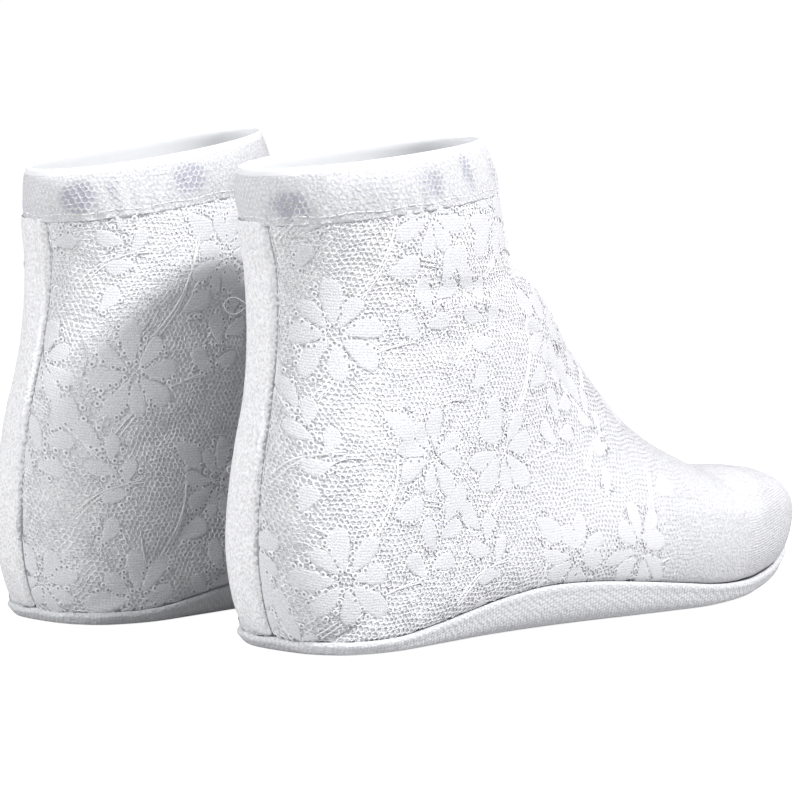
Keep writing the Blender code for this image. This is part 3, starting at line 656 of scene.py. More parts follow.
def undrawn(flat):
    """Flat coordinates to pattern ones."""
    pattern = np.array(flat, dtype=float)
    ahead = np.clip((pattern[..., 0] - DRAWN_FROM) / DRAWN_OVER, 0, DRAWN_LIMIT)
    pattern[..., 0] = np.where(ahead > 0, DRAWN_FROM - DRAWN_OVER * np.log(1 - ahead), pattern[..., 0])
    return pattern


def edge_mask(shape):
    mask = np.ones((shape[0] + 2, shape[1] + 2, 1))
    mask[1:-1, 1:-1] = 0
    return mask


def widened(grid, reach):
    """A grid with a margin of one more row or column at each edge, reach beyond it."""
    wide = np.pad(grid, ((1, 1), (1, 1), (0, 0)), mode="edge")
    for low, high in ((0, 1), (-1, -2)):
        inside = 2 if low == 0 else -3
        wide[low] += unit(wide[high] - wide[inside]) * reach
        wide[:, low] += unit(wide[:, high] - wide[:, inside]) * reach
    return wide


def grid_quads(rows, columns):
    corners = [i * columns + j for i in range(rows - 1) for j in range(columns - 1)]
    return [(a, a + 1, a + columns + 1, a + columns) for a in corners]


def between_rings(first, second, count):
    """Quads between two closed rings of points, from where each ring starts."""
    pairs = [(k, (k + 1) % count) for k in range(count)]
    return [(first + k, first + nxt, second + nxt, second + k) for k, nxt in pairs]


def ring_steps(sides):
    angles = np.arange(sides) * 2 * np.pi / sides
    return np.column_stack([np.cos(angles), np.sin(angles)])


def border(rows, columns, step=1):
    """The indices round the edge of a grid, in turn, as one closed loop."""
    loop = [(0, j) for j in range(0, columns - 1, step)]
    loop += [(i, columns - 1) for i in range(0, rows - 1, step)]
    loop += [(rows - 1, j) for j in range(columns - 1, 0, -step)]
    loop += [(i, 0) for i in range(rows - 1, 0, -step)]
    return loop


def turned(x, y, degrees):
    angle = math.radians(degrees)
    return x * math.cos(angle) - y * math.sin(angle), x * math.sin(angle) + y * math.cos(angle)


class Cloth:
    """A curved piece of cloth: its points in the row's frame, in millimetres, and where each is when flat.

    plain_until is where a plain edge of its net ends. opens is the letter of the cover whose casing's net
    opens where the elastic, and painted shade of the dark inside, show through.
    """

    def __init__(self, points, flat, normals, is_drawn, plain_until=None, opens=None):
        self.points = points
        self.flat = flat
        self.normals = normals
        self.is_drawn = is_drawn
        self.plain_until = plain_until
        self.opens = opens
        self.bare_edge = None
        # how much painted shadow of a seam lies at each point; none unless given
        self.seam = np.zeros(points.shape[:2])
        margin = edge_mask(points.shape)
        self.wide_flat = widened(flat, MARGIN)
        self.wide_normals = widened(normals, 0)
        self.wide_points = widened(points, MARGIN_TUCK) - MARGIN_SINK * margin * self.wide_normals
        quads = grid_quads(*self.wide_flat.shape[:2])
        self.triangles = np.array([half for a, b, c, d in quads for half in ((a, b, c), (a, c, d))])
        self.in_margin = (margin.reshape(-1) > 0)[self.triangles].any(axis=1)
        spots = [(x, y, 0.0) for x, y in self.wide_flat.reshape(-1, 2).tolist()]
        self.tree = BVHTree.FromPolygons(spots, self.triangles.tolist())

    def fineness(self, pattern):
        """1 where the net is open, and less where it closes up towards the toes or a plain edge."""
        if self.opens is not None:
            shown = elastic_and_shade_shows(self.opens, np.asarray(pattern).reshape(-1, 2))
            return BAND_FINENESS + (1 - BAND_FINENESS) * shown.reshape(np.shape(pattern)[:-1])
        x = np.asarray(pattern)[..., 0]
        fine = 1 - (1 - TOE_FINENESS) * np.clip((x - FINE_FROM) / FINE_OVER, 0, 1)
        if self.plain_until is not None:
            plain = np.clip((x - self.plain_until) / PLAIN_OVER, 0, 1)
            fine = fine * (PLAIN_FINENESS + (1 - PLAIN_FINENESS) * plain)
        return fine

    def clear_of_plain(self, pattern, reach):
        """Which places of the pattern are further than reach from a plain edge."""
        edge = -np.inf if self.plain_until is None else self.plain_until
        return pattern[:, 0] > edge + reach

    def sink(self, pattern):
        """How far the net sinks into the lining, which it does in the bare groove of a plain edge."""
        if self.bare_edge is None:
            return 0
        gaps = np.linalg.norm(drawn(pattern)[:, None] - self.bare_edge[None], axis=2).min(axis=1)
        return PLAIN_SINK * np.clip((PLAIN_BARE - gaps) / PLAIN_BARE, 0, 1)

    def shares(self, triangle, spots):
        """How much each corner of its triangle counts at each spot of the flat cloth."""
        corners = self.wide_flat.reshape(-1, 2)[triangle]
        edge_b = corners[:, 1] - corners[:, 0]
        edge_c = corners[:, 2] - corners[:, 0]
        reach = spots - corners[:, 0]
        area = edge_b[:, 0] * edge_c[:, 1] - edge_b[:, 1] * edge_c[:, 0]
        area = np.where(np.abs(area) < TINY, TINY, area)
        share_b = (reach[:, 0] * edge_c[:, 1] - reach[:, 1] * edge_c[:, 0]) / area
        share_c = (edge_b[:, 0] * reach[:, 1] - edge_b[:, 1] * reach[:, 0]) / area
        shares = np.clip(np.column_stack([1 - share_b - share_c, share_b, share_c]), 0, 1)
        return shares / shares.sum(axis=1, keepdims=True)

    def lay(self, pattern, heights, in_margin_too=False):
        """Points over the cloth at places of the pattern, and a mask of those that are on it."""
        flat = drawn(pattern) if self.is_drawn else np.asarray(pattern, dtype=float)
        spots = flat.reshape(-1, 2)
        down = Vector((0, 0, -1))
        hits = [self.tree.ray_cast(Vector((x, y, 1.0)), down)[2] for x, y in spots.tolist()]
        on = np.array([hit is not None for hit in hits])
        hits = np.array([0 if hit is None else hit for hit in hits], dtype=int)
        if not in_margin_too:
            on &= ~self.in_margin[hits]
        triangle = self.triangles[hits]
        shares = self.shares(triangle, spots)
        places = np.einsum("ij,ijk->ik", shares, self.wide_points.reshape(-1, 3)[triangle])
        normals = unit(np.einsum("ij,ijk->ik", shares, self.wide_normals.reshape(-1, 3)[triangle]))
        raised = places + normals * np.broadcast_to(heights, flat.shape[:-1]).reshape(-1, 1)
        return raised.reshape(flat.shape[:-1] + (3,)), on.reshape(flat.shape[:-1])


def placed(name, data, place=(0, 0, 0), turn=(0, 0, 0)):
    obj = bpy.data.objects.new(name, data)
    obj.location = place
    obj.rotation_euler = turn
    bpy.context.scene.collection.objects.link(obj)
    return obj


def mesh_object(name, points, faces, material, pattern=None):
    """A mesh from points in the row's millimetres; its UV map is the cloth's pattern in centimetres."""
    mesh = bpy.data.meshes.new(name)
    mesh.from_pydata((np.reshape(points, (-1, 3)) * MM).tolist(), [], faces)
    if pattern is not None:
        uv = mesh.uv_layers.new(name="pattern")
        corner = np.zeros(len(mesh.loops), dtype=int)
        mesh.loops.foreach_get("vertex_index", corner)
        uv.data.foreach_set("uv", (np.reshape(pattern, (-1, 2))[corner] / 10).ravel())
    mesh.validate()
    mesh.shade_smooth()
    mesh.materials.append(material)
    return placed(name, mesh)


def marked(obj, name, values):
    """Give every point of a mesh a value that its material reads."""
    obj.data.attributes.new(name, "FLOAT", "POINT").data.foreach_set("value", values)


def reworked(obj, work):
    """The object after a piece of work on its mesh."""
    mesh = bmesh.new()
    mesh.from_mesh(obj.data)
    work(mesh)
    mesh.to_mesh(obj.data)
    mesh.free()
    return obj


def drop_loose(mesh):
    loose = [vert for vert in mesh.verts if not vert.link_faces]
    bmesh.ops.delete(mesh, geom=loose, context="VERTS")


def face_outwards(mesh):
    bmesh.ops.recalc_face_normals(mesh, faces=mesh.faces)


def close_points(mesh):
    bmesh.ops.remove_doubles(mesh, verts=mesh.verts, dist=MERGE)
    face_outwards(mesh)


class Lacework:
    """Small pieces laid one by one, gathered into one mesh."""

    def __init__(self):
        self.points = []
        self.pattern = []
        self.faces = []
        self.count = 0

    def add(self, points, pattern, faces):
        self.points.append(np.reshape(points, (-1, 3)))
        self.pattern.append(np.reshape(pattern, (-1, 2)))
        self.faces += [tuple(self.count + corner for corner in face) for face in faces]
        self.count += len(self.points[-1])

    def mesh(self, name, material):
        points = np.concatenate(self.points)
        obj = mesh_object(name, points, self.faces, material, np.concatenate(self.pattern))
        return reworked(obj, drop_loose)


def ridge(distance, height, middle, half_width):
    """A soft ridge round a distance, or a groove where its height is under 0."""
    return height * bump_at(distance, middle, half_width)


def folds_at(flat, outward, side):
    """How high the main creases and the cloth's unevenness are at each point of the flat cloth."""
    x = flat[..., 0]
    y = flat[..., 1]
    height = UNEVENNESS * np.sin(x / UNEVEN_REACH[0] + outward) * np.sin(y / UNEVEN_REACH[1] + side)
    for fold_x, fold_y, turn, half_length, half_width, depth in FOLDS:
        lengthwise, across = turned(x - fold_x, y - fold_y, -turn)
        across = across + FOLD_WANDER * np.sin(lengthwise / FOLD_WANDER_REACH + fold_x)
        height += ridge(lengthwise, depth, 0, half_length) * bump_at(across, 0, half_width)
    return height


def panel_cloth(outward, side):
    """The lining of a side panel: drawn in along its seams, and with its soft folds."""
    places = divided(CLOTH_STRETCHES)
    grid = np.array([panel_ring(place, outward, CLOTH_COLUMNS) for place in places])
    flat = flattened(grid, places, outward)
    normals = outward_normals(grid, outward)
    normals[-1] = TOE_NORMAL
    along = np.array([lengths_along(ring) for ring in grid])
    from_back = along[:, -1:] - along
    on_back = (places <= BACK_SEAM_FOOT)[:, None]
    is_plain = outward == side
    back_edge = ridge(from_back, *(PLAIN_GROOVE if is_plain else BACK_GROOVE))
    lift = folds_at(flat, outward, side) - LINING_DEPTH
    if is_plain:
        back_edge += ridge(from_back, *BACK_RIDGE)
        lift += ridge(from_back, *BACK_FULLNESS) * bump_at(flat[..., 1], *BACK_FULL_HEIGHT)
    lift += np.where(on_back, back_edge, ridge(from_back, *SOLE_GROOVE))
    lift += ridge(along, *FRONT_GROOVE)
    grid = grid + normals * lift[..., None]
    grid[-1] = grid[-1].mean(axis=0)
    world = posed(grid.reshape(-1, 3), side).reshape(grid.shape)
    normals = outward_normals(world, outward * side)
    normals[-1] = TOE_NORMAL
    cloth = Cloth(world, flat, normals, True, PLAIN_UNTIL if is_plain else None)
    if is_plain:
        cloth.bare_edge = flat[on_back[:, 0], -1]
        # painted shadow along the plain side of the back seam
        cloth.seam = np.where(on_back, bump_at(from_back, 0, SEAM_SHADE_WIDTH), 0)
    return cloth


def lining(name, cloth, material):
    """The cloth as a thin closed shell; its inside has half as many rows and columns."""
    rows, columns = cloth.points.shape[:2]
    count = rows * columns
    outside = cloth.points - cloth.normals * LACE_CLEAR
    inside = (cloth.points - cloth.normals * LINING_WALL)[::2, ::2]
    inner_rows, inner_columns = inside.shape[:2]
    points = np.concatenate([outside.reshape(-1, 3), inside.reshape(-1, 3)])
    faces = grid_quads(rows, columns)
    faces += [tuple(count + v for v in quad[::-1]) for quad in grid_quads(inner_rows, inner_columns)]
    fine = [i * columns + j for i, j in border(rows, columns)]
    coarse = [count + i // 2 * inner_columns + j // 2 for i, j in border(rows, columns, 2)]
    for k, inner in enumerate(coarse):
        inner_next = coarse[(k + 1) % len(coarse)]
        start, middle, end = fine[2 * k], fine[2 * k + 1], fine[(2 * k + 2) % len(fine)]
        faces += [(middle, start, inner), (middle, inner, inner_next), (end, middle, inner_next)]
    pattern = undrawn(cloth.flat)
    patterns = np.concatenate([pattern.reshape(-1, 2), pattern[::2, ::2].reshape(-1, 2)])
    obj = mesh_object(name, points, faces, material, patterns)
    # the painted seam shadow, read by the material
    marked(obj, "seam", np.append(cloth.seam.ravel(), cloth.seam[::2, ::2].ravel()))
    return reworked(obj, close_points)


def motif_petals(kind, x, y, turn, size):
    """Petals and leaves of one motif as rows of (x, y, turn, length, width, eyelets)."""
    petals = []
    if kind == "flower":
        start, length, width = FLOWER_PETAL
        for k in range(FLOWER_PETALS):
            angle = turn + 360 * k / FLOWER_PETALS + PETAL_STRAYS * math.sin(3.1 * k + x)
            dx, dy = turned(start * size, 0, angle)
            longer = size * (1 + PETAL_LONGER * math.sin(2.3 * k + y))
            wider = size * (1 + PETAL_WIDER * math.sin(3.7 * k + x))
            petals.append((x + dx, y + dy, angle, length * longer, width * wider, FLOWER_EYELETS))
    for along, aside, leaf_turn, length, width in LEAVES.get(kind, ()):
        dx, dy = turned(along * size, aside * size, turn)
        petals.append((x + dx, y + dy, turn + leaf_turn, length * size, width * size, LEAF_EYELETS))
    return petals


def repeats(box):
    """The corners of the lace's repeats over a box of the pattern; every other column drops half."""
    low_x, low_y, high_x, high_y = box
    for column in range(int(low_x // REPEAT_WIDTH) - 1, int(high_x // REPEAT_WIDTH) + 2):
        drop = REPEAT_HEIGHT / 2 * (column % 2)
        for row in range(int(low_y // REPEAT_HEIGHT) - 1, int(high_y // REPEAT_HEIGHT) + 2):
            yield column * REPEAT_WIDTH, row * REPEAT_HEIGHT + drop


def half_width_at(share):
    """Half a petal's width at a share of its length, as a share of its full width."""
    return np.sin(np.pi * np.clip(share, 0, 1) ** PETAL_FULLEST) ** PETAL_BLUNTNESS / 2


def covered(petals, spots, margin):
    """Which spots lie under a petal, or nearer to one than margin."""
    if not len(petals):
        return np.zeros(len(spots), bool)
    x, y, turn, length, width, _ = petals.T[:, :, None]
    angle = np.radians(turn)
    dx = spots[None, :, 0] - x
    dy = spots[None, :, 1] - y
    share = (dx * np.cos(angle) + dy * np.sin(angle)) / length
    across = (dy * np.cos(angle) - dx * np.sin(angle)) / width
    room = half_width_at(share) + margin / width
    inside = (share > 0) & (share < 1) & (np.abs(across) < room)
    return inside.any(axis=0)


def petals_mesh(name, cloth, petals, material):
    """Petals worked solid, each with a raised thread round its edge."""
    along = np.array(PETAL_ALONG)
    across = np.array(PETAL_ACROSS)
    ends = np.clip(np.sin(np.pi * along) * PETAL_END_SLOPE, PETAL_END_RISE, 1)
    heights = PETAL_LOW + np.outer(ends, PETAL_RISE_ACROSS)
    shares = half_width_at(along)
    work = Lacework()
    quads = grid_quads(len(along), len(across))
    for x, y, turn, length, width, _ in petals.tolist():
        bow = PETAL_BOW * length * np.sin(np.pi * along) * math.sin(7.7 * x + y)
        lengthwise = np.repeat((along * length)[:, None], len(across), axis=1)
        ragged = 1 + PETAL_UNEVEN * np.sin(along * 37 + x) * np.sin(along * 17 - y)
        sideways = np.outer(shares * ragged * width, across) + bow[:, None]
        spots = np.array((x, y)) + np.stack(turned(lengthwise, sideways, turn), axis=-1)
        points, on = cloth.lay(spots, heights * cloth.fineness(spots) ** 0.5, True)
        on = on.reshape(-1)
        if on.any():
            work.add(points, spots, [quad for quad in quads if on[list(quad)].all()])
    return work.mesh(name, material)


def flower_eyelets(x, y, turn, size):
    """Rows of eyelets between the petals of a flower."""
    first, apart, count = EYELETS_BETWEEN
    spots = []
    for k in range(FLOWER_PETALS):
        for step in range(count):
            angle = turn + 360 * (k + 0.5) / FLOWER_PETALS + EYELET_STRAYS * math.sin(2.0 * step + k)
            dx, dy = turned((first + apart * step) * size, 0, angle)
            spots.append((x + dx, y + dy))
    return spots


def eyelets_beside(x, y, turn, length, width, count):
    """Eyelets along both sides of a petal, with some left out."""
    first, apart = EYELETS_BESIDE
    for k in range(int(count)):
        share = first + apart * k
        for sign in (-1, 1):
            if math.sin(5.3 * k + 2.9 * x + 1.7 * y + sign) >= EYELET_LEFT_OUT:
                aside = sign * (width * float(half_width_at(share)) + EYELET_ASIDE)
                dx, dy = turned(share * length, aside, turn)
                yield x + dx, y + dy


def eyelet_spots(petals, between):
    """Small open holes beside the petals, where the net is pulled apart."""
    spots = [spot for spot in between.tolist() if spot[0] < EYELETS_END]
    for petal in petals.tolist():
        if petal[0] <= EYELETS_END:
            spots += eyelets_beside(*petal)
    kept = []
    for spot in spots:
        if all((spot[0] - a) ** 2 + (spot[1] - b) ** 2 > EYELET_APART**2 for a, b in kept):
            kept.append(spot)
    kept = np.array(kept).reshape(-1, 2)
    return kept[~covered(petals, kept, -EYELET_UNDER)]


def waves(spots, pairs):
    """Two sines over the pattern, which differ by how fast they change along x and y."""
    return np.column_stack([np.sin(spots @ pair) for pair in pairs])


def net_cells(cloth, box, petals, eyelets):
    """The net's open cells: their middles, and each one's six corners on a grid of whole numbers."""
    low_x, low_y, high_x, high_y = box
    rows = np.arange(int(low_y / CELL_RISE), int(high_y / CELL_RISE) + 1)
    columns = np.arange(int(low_x / CELL_WIDTH), int(high_x / CELL_WIDTH) + 1)
    row, column = (part.ravel() for part in np.meshgrid(rows, columns, indexing="ij"))
    keys = np.column_stack([2 * column + row % 2, 3 * row])
    centres = keys * CELL_UNIT
    keep = ~covered(petals, centres, -PETAL_OVERLAP)
    if cloth.is_drawn:
        keep &= centres[:, 0] < NET_END
    if len(eyelets):
        gaps = np.linalg.norm(centres[:, None] - eyelets[None], axis=2).min(axis=1)
        keep &= gaps > EYELET_CLEARS
    return centres[keep], keys[keep][:, None, :] + np.array(CELL_CORNERS)


def net_mesh(name, cloth, box, petals, eyelets, material):
    """The net: a ridge of thread round every open cell, and a round one round each eyelet."""
    centres, corner_keys = net_cells(cloth, box, petals, eyelets)
    unique, index = np.unique(corner_keys.reshape(-1, 2), axis=0, return_inverse=True)
    index = index.reshape(-1, 6)
    corners = unique * CELL_UNIT
    corners = corners + NET_WOBBLE * waves(corners, WOBBLE_WAVES) + NET_PULL * waves(corners, PULL_WAVES)
    centres = centres + NET_PULL * waves(centres, PULL_WAVES)
    sink = cloth.sink(corners)
    raised, on = cloth.lay(corners, THREAD_HEIGHT * cloth.fineness(corners) - sink, True)
    middle, middle_on = cloth.lay(centres, HOLE_HEIGHT - cloth.sink(centres), True)
    low, _ = cloth.lay(corners, HOLE_HEIGHT - sink, True)
    good = on[index].all(axis=1) & middle_on
    good &= np.linalg.norm(raised[index] - middle[:, None], axis=2).max(axis=1) < CELL_LIMIT
    index, middle, centres = index[good], middle[good], centres[good]
    uneven = 1 + HOLE_UNEVEN * waves(centres, HOLE_WAVES).prod(axis=1)
    least = HOLE_SHARE * HOLE_LEAST
    hole = ((least + (HOLE_SHARE - least) * cloth.fineness(centres)) * uneven)[:, None, None]
    inner = middle[:, None] + hole * (low[index] - middle[:, None])
    inner_pattern = centres[:, None] + hole * (corners[index] - centres[:, None])
    faces = []
    for cell, ring in enumerate(index.tolist()):
        base = len(raised) + 6 * cell
        for k, corner in enumerate(ring):
            nxt = (k + 1) % 6
            faces.append((corner, ring[nxt], base + nxt, base + k))
    work = Lacework()
    pattern = np.concatenate([corners, inner_pattern.reshape(-1, 2)])
    work.add(np.concatenate([raised, inner.reshape(-1, 3)]), pattern, faces)
    steps = ring_steps(EYELET_SIDES)
    walls = between_rings(0, EYELET_SIDES, EYELET_SIDES)
    walls += between_rings(EYELET_SIDES, 2 * EYELET_SIDES, EYELET_SIDES)
    for spot in eyelets:
        rings = [spot + steps * radius for radius, _ in EYELET_RINGS]
        laid = [cloth.lay(ring, height) for ring, (_, height) in zip(rings, EYELET_RINGS)]
        if all(ring_on.all() for _, ring_on in laid):
            work.add([points for points, _ in laid], rings, walls)
    return work.mesh(name, material)


def eyelet_shade_mesh(name, cloth, eyelets, material):
    """A dark disc of painted shade at the bottom of each eyelet."""
    work = Lacework()
    for spot in eyelets:
        ring = spot + ring_steps(EYELET_SIDES) * EYELET_FLOOR
        points, on = cloth.lay(ring, EYELET_FLOOR_HEIGHT)
        if on.all():
            work.add(points, ring, [range(EYELET_SIDES)])
    return work.mesh(name, material)


def stems(box):
    """The lace's stems, in pairs of threads."""
    share = np.linspace(0, 1, STEM_POINTS)
    for corner in repeats(box):
        for x0, y0, x1, y1, bow in STEMS:
            across = np.array((-(y1 - y0), x1 - x0)) / math.hypot(x1 - x0, y1 - y0)
            for offset in (-STEM_GAP / 2, STEM_GAP / 2):
                track = np.column_stack([x0 + share * (x1 - x0), y0 + share * (y1 - y0)])
                aside = bow * np.sin(np.pi * share) + offset * np.cos(STEM_CLOSING * share)
                yield track + np.outer(aside, across) + corner, *STEM_THREAD


def strays(box, seed):
    """Short stray threads, each in a loose curve."""
    chance = np.random.default_rng(seed)
    low_x, low_y, high_x, high_y = box
    share = np.linspace(0, 1, STRAY_POINTS)
    for _ in range(STRAYS):
        start = chance.uniform((low_x, low_y), (high_x, high_y))
        angle = chance.uniform(0, 2 * np.pi)
        length = chance.uniform(*STRAY_LENGTH)
        angles = angle + chance.uniform(-STRAY_TURN, STRAY_TURN) * share
        steps = np.column_stack([np.cos(angles), np.sin(angles)]) * length / STRAY_POINTS
        yield start + np.cumsum(steps, axis=0), *STRAY_THREAD


def threads_mesh(name, cloth, lines, petals, material):
    """Threads lying on the lace, from (points of the pattern, half width, height), clear of the petals."""
    work = Lacework()
    for track, half_width, height in lines:
        along = unit(np.gradient(track, axis=0))
        across = np.column_stack([-along[:, 1], along[:, 0]]) * half_width
        spots = np.stack([track - across, track, track + across], axis=1)
        lift = np.array((THREAD_EDGE_HEIGHT, height, THREAD_EDGE_HEIGHT))
        points, on = cloth.lay(spots, np.broadcast_to(lift, spots.shape[:2]))
        clear = on.all(axis=1) & ~covered(petals, track, -THREAD_UNDER)
        length = np.linalg.norm(np.diff(points[:, 1], axis=0), axis=1)
        runs = [k for k in range(len(track) - 1) if clear[k] and clear[k + 1] and length[k] < THREAD_LIMIT]
        starts = [3 * k + strip for k in runs for strip in range(2)]
        work.add(points, spots, [(a, a + 1, a + 4, a + 3) for a in starts])
    return work.mesh(name, material)


def panel_motifs(cloth, box, shift):
    """The petals and eyelets of a panel's lace, away from its toes and from a plain edge."""
    petals = []
    between = []
    for corner_x, corner_y in repeats(box):
        for kind, x, y, turn, size in MOTIFS:
            petals += motif_petals(kind, x + corner_x, y + corner_y, turn, size)
            if kind == "flower":
                between += flower_eyelets(x + corner_x, y + corner_y, turn, size)
    petals = np.array(petals)
    petals[:, :2] += shift
    between = np.array(between) + shift
    between = between[cloth.clear_of_plain(between, PLAIN_OVER)]
    near = (petals[:, :2] > np.array(box[:2]) - MOTIF_REACH).all(axis=1)
    near &= (petals[:, :2] < np.array(box[2:]) + MOTIF_REACH).all(axis=1)
    near &= drawn(petals[:, :2])[:, 0] < MOTIFS_END
    near &= cloth.clear_of_plain(petals, PLAIN_OVER / 2)
    petals = petals[near]
    return petals, eyelet_spots(petals, between)


def panel_threads(cloth, box, shift, seed):
    """A panel's threads, where they lie on the worked part of the lace."""
    for track, half_width, height in [*stems(box), *strays(box, seed)]:
        track = track + shift
        shown = (drawn(track)[:, 0] < THREADS_END) & cloth.clear_of_plain(track, PLAIN_OVER)
        if shown.sum() > 3:
            yield track[shown], half_width, height


def lace_panel(stem, outward, side, stuffs):
    """One side panel: lining, net, petals, eyelets and threads."""
    cloth = panel_cloth(outward, side)
    pattern = undrawn(cloth.flat).reshape(-1, 2)
    box = (*pattern.min(axis=0), *pattern.max(axis=0))
    shift = np.array(LACE_SHIFTS[stem])
    petals, eyelets = panel_motifs(cloth, box, shift)
    base = lining(stem + "_lining", cloth, stuffs["lining"])
    threads = list(panel_threads(cloth, box, shift, LACE_SEEDS[stem]))
    pieces = [
        net_mesh(stem + "_net", cloth, box, petals, eyelets, stuffs["net"]),
        petals_mesh(stem + "_petals", cloth, petals, stuffs["petals"]),
        eyelet_shade_mesh(stem + "_eyelet_shade", cloth, eyelets, stuffs["eyelets"]),
        threads_mesh(stem + "_threads", cloth, threads, petals, stuffs["threads"]),
    ]
    return base, pieces, cloth


def seam_loop():
    """The sole seam as one closed loop in a cover's own millimetres, finely divided."""
    places = divided(SOLE_STRETCHES)
    outer = np.array([panel_ring(place, 1, SEAM_COLUMNS) for place in places])
    inner = np.array([panel_ring(place, -1, SEAM_COLUMNS) for place in places])
    slit = places > SPLIT_END
    crotch = places == SPLIT_END
    foot = places == BACK_SEAM_FOOT
    return np.concatenate([
        outer[foot, -1], outer[~foot, -1], outer[slit, 0][:-1][::-1],
        (outer[crotch, 0] + inner[crotch, 0]) / 2,
        inner[slit, 0], inner[~foot, -1][:-1][::-1],
    ])


def inward_directions(loop):
    """In plan, the direction into the sole at each point of its seam."""
    along = np.roll(loop, -1, axis=0) - np.roll(loop, 1, axis=0)
    across = unit(np.column_stack([along[:, 1], -along[:, 0], np.zeros(len(loop))]))
    area = np.sum(loop[:, 0] * np.roll(loop[:, 1], -1) - np.roll(loop[:, 0], -1) * loop[:, 1])
    return across if area < 0 else -across


def sole_layer(rim, inward, around, depth, share):
    """A line round the sole at a depth into its cloth, at a share of its edge's turn down to the ground."""
    angle = math.pi / 2 * share
    low = depth * math.sin(angle) ** 2
    inset = (rim[:, 2] / 2 - depth) * (1 - math.cos(angle)) + depth
    layer = rim + inward * inset[:, None]
    layer[:, 2] = (rim[:, 2] - low) * (1 - math.sin(angle)) + low
    if depth == 0:
        down = rim[:, 2] - layer[:, 2]
        gather = ridge(down, EDGE_GATHER, 0, EDGE_GATHER_REACH) * (rim[:, 2] > EDGE_GATHER_REACH)
        gather *= np.sin(around * 2 * np.pi / EDGE_GATHER_PITCH)
        layer -= inward * (ridge(down, *EDGE_ROLL) + gather)[:, None]
    return layer


def shape_sole(mesh, side):
    """Divide the sole across its toes, turn them up with the foot and place it."""
    for step in range(1, SOLE_CUTS + 1):
        ahead = (SPRING_START - SPRING_REACH * step / (SOLE_CUTS + 1)) * MM
        everything = mesh.verts[:] + mesh.edges[:] + mesh.faces[:]
        bmesh.ops.bisect_plane(mesh, geom=everything, plane_co=(0, ahead, 0), plane_no=(0, 1, 0))
    for vert in mesh.verts:
        vert.co = Vector((posed(np.array([vert.co]) / MM, side)[0] * MM).tolist())
    bmesh.ops.triangulate(mesh, faces=[face for face in mesh.faces if len(face.verts) > 4])
    face_outwards(mesh)


def sole_cloth(stem, side, material):
    """The sole: its edge rolled along the seam and turned down to the ground, closed by an inner layer."""
    loop = seam_loop()
    inward = inward_directions(loop)
    around = lengths_along(np.vstack([loop, loop[:1]]))[:-1]
    rim = loop + (0, 0, SOLE_EDGE_RISE)
    layers = [(0, share) for share in SOLE_TURN] + [(SOLE_CLOTH_WALL, share) for share in SOLE_TURN[::-1]]
    points = np.concatenate([sole_layer(rim, inward, around, *layer) for layer in layers])
    count = len(loop)
    ground = len(SOLE_TURN) - 1
    faces = []
    for layer in range(len(layers)):
        if layer != ground:
            faces += between_rings(layer * count, (layer + 1) % len(layers) * count, count)
    faces.append(tuple(range(ground * count, (ground + 1) * count)))
    faces.append(tuple(range((ground + 1) * count, (ground + 2) * count))[::-1])
    obj = mesh_object(stem + "_cloth", points, faces, material, points[:, :2])
    return reworked(obj, lambda mesh: shape_sole(mesh, side))


def band_rings():
    """Rings down the outside of the cuff band, with their outward directions."""
    for share in BAND_SHARES:
        outer, inner = (panel_ring(share, outward, BAND_STATIONS // 2 + 1) for outward in (1, -1))
        ring = np.concatenate([outer, inner[::-1][1:-1]])
        yield ring, -inward_directions(ring)


def band_depth(share, turns, side):
    """How far the casing stands out all round, at a share of its height from the rim down."""
    turn = BAND_PUFF_FROM + (BAND_PUFF_TO - BAND_PUFF_FROM) * min(share, 1)
    puff = BAND_BULGE * math.sin(math.pi * turn) ** BAND_PUFF_POWER - BAND_INSET
    wander = np.sin(PUCKERS * turns + PUCKER_WANDER * np.sin(3 * turns))
    wander = wander * (PUCKER_EVEN + (1 - PUCKER_EVEN) * np.sin(5 * turns + side))
    pucker = wander * ridge(share, PUCKER_DEPTH, 1, PUCKER_REACH)
    swell = BAND_SWELL * np.sin(BAND_SWELLS * turns + side)
    streak = BAND_STREAK * np.sin(BAND_STREAKS * turns + 2 * np.sin(7 * turns))
    return puff + pucker + (swell + streak) * math.sin(math.pi * share)


def elastic_and_shade_shows(letter, pattern):
    """How much grey shows through the casing at each place of its pattern: the elastic, and painted shade of
    its dark inside.
    """
    shown = np.zeros(len(pattern))
    for around, up, half_length, half_height, strength in ELASTIC_AND_SHADE_SHOWS[letter]:
        along = (pattern[:, 0] - around) / half_length
        across = (pattern[:, 1] - up) / half_height
        shown = np.maximum(shown, strength * np.exp(-((along**2 + across**2) ** 2)))
    return shown


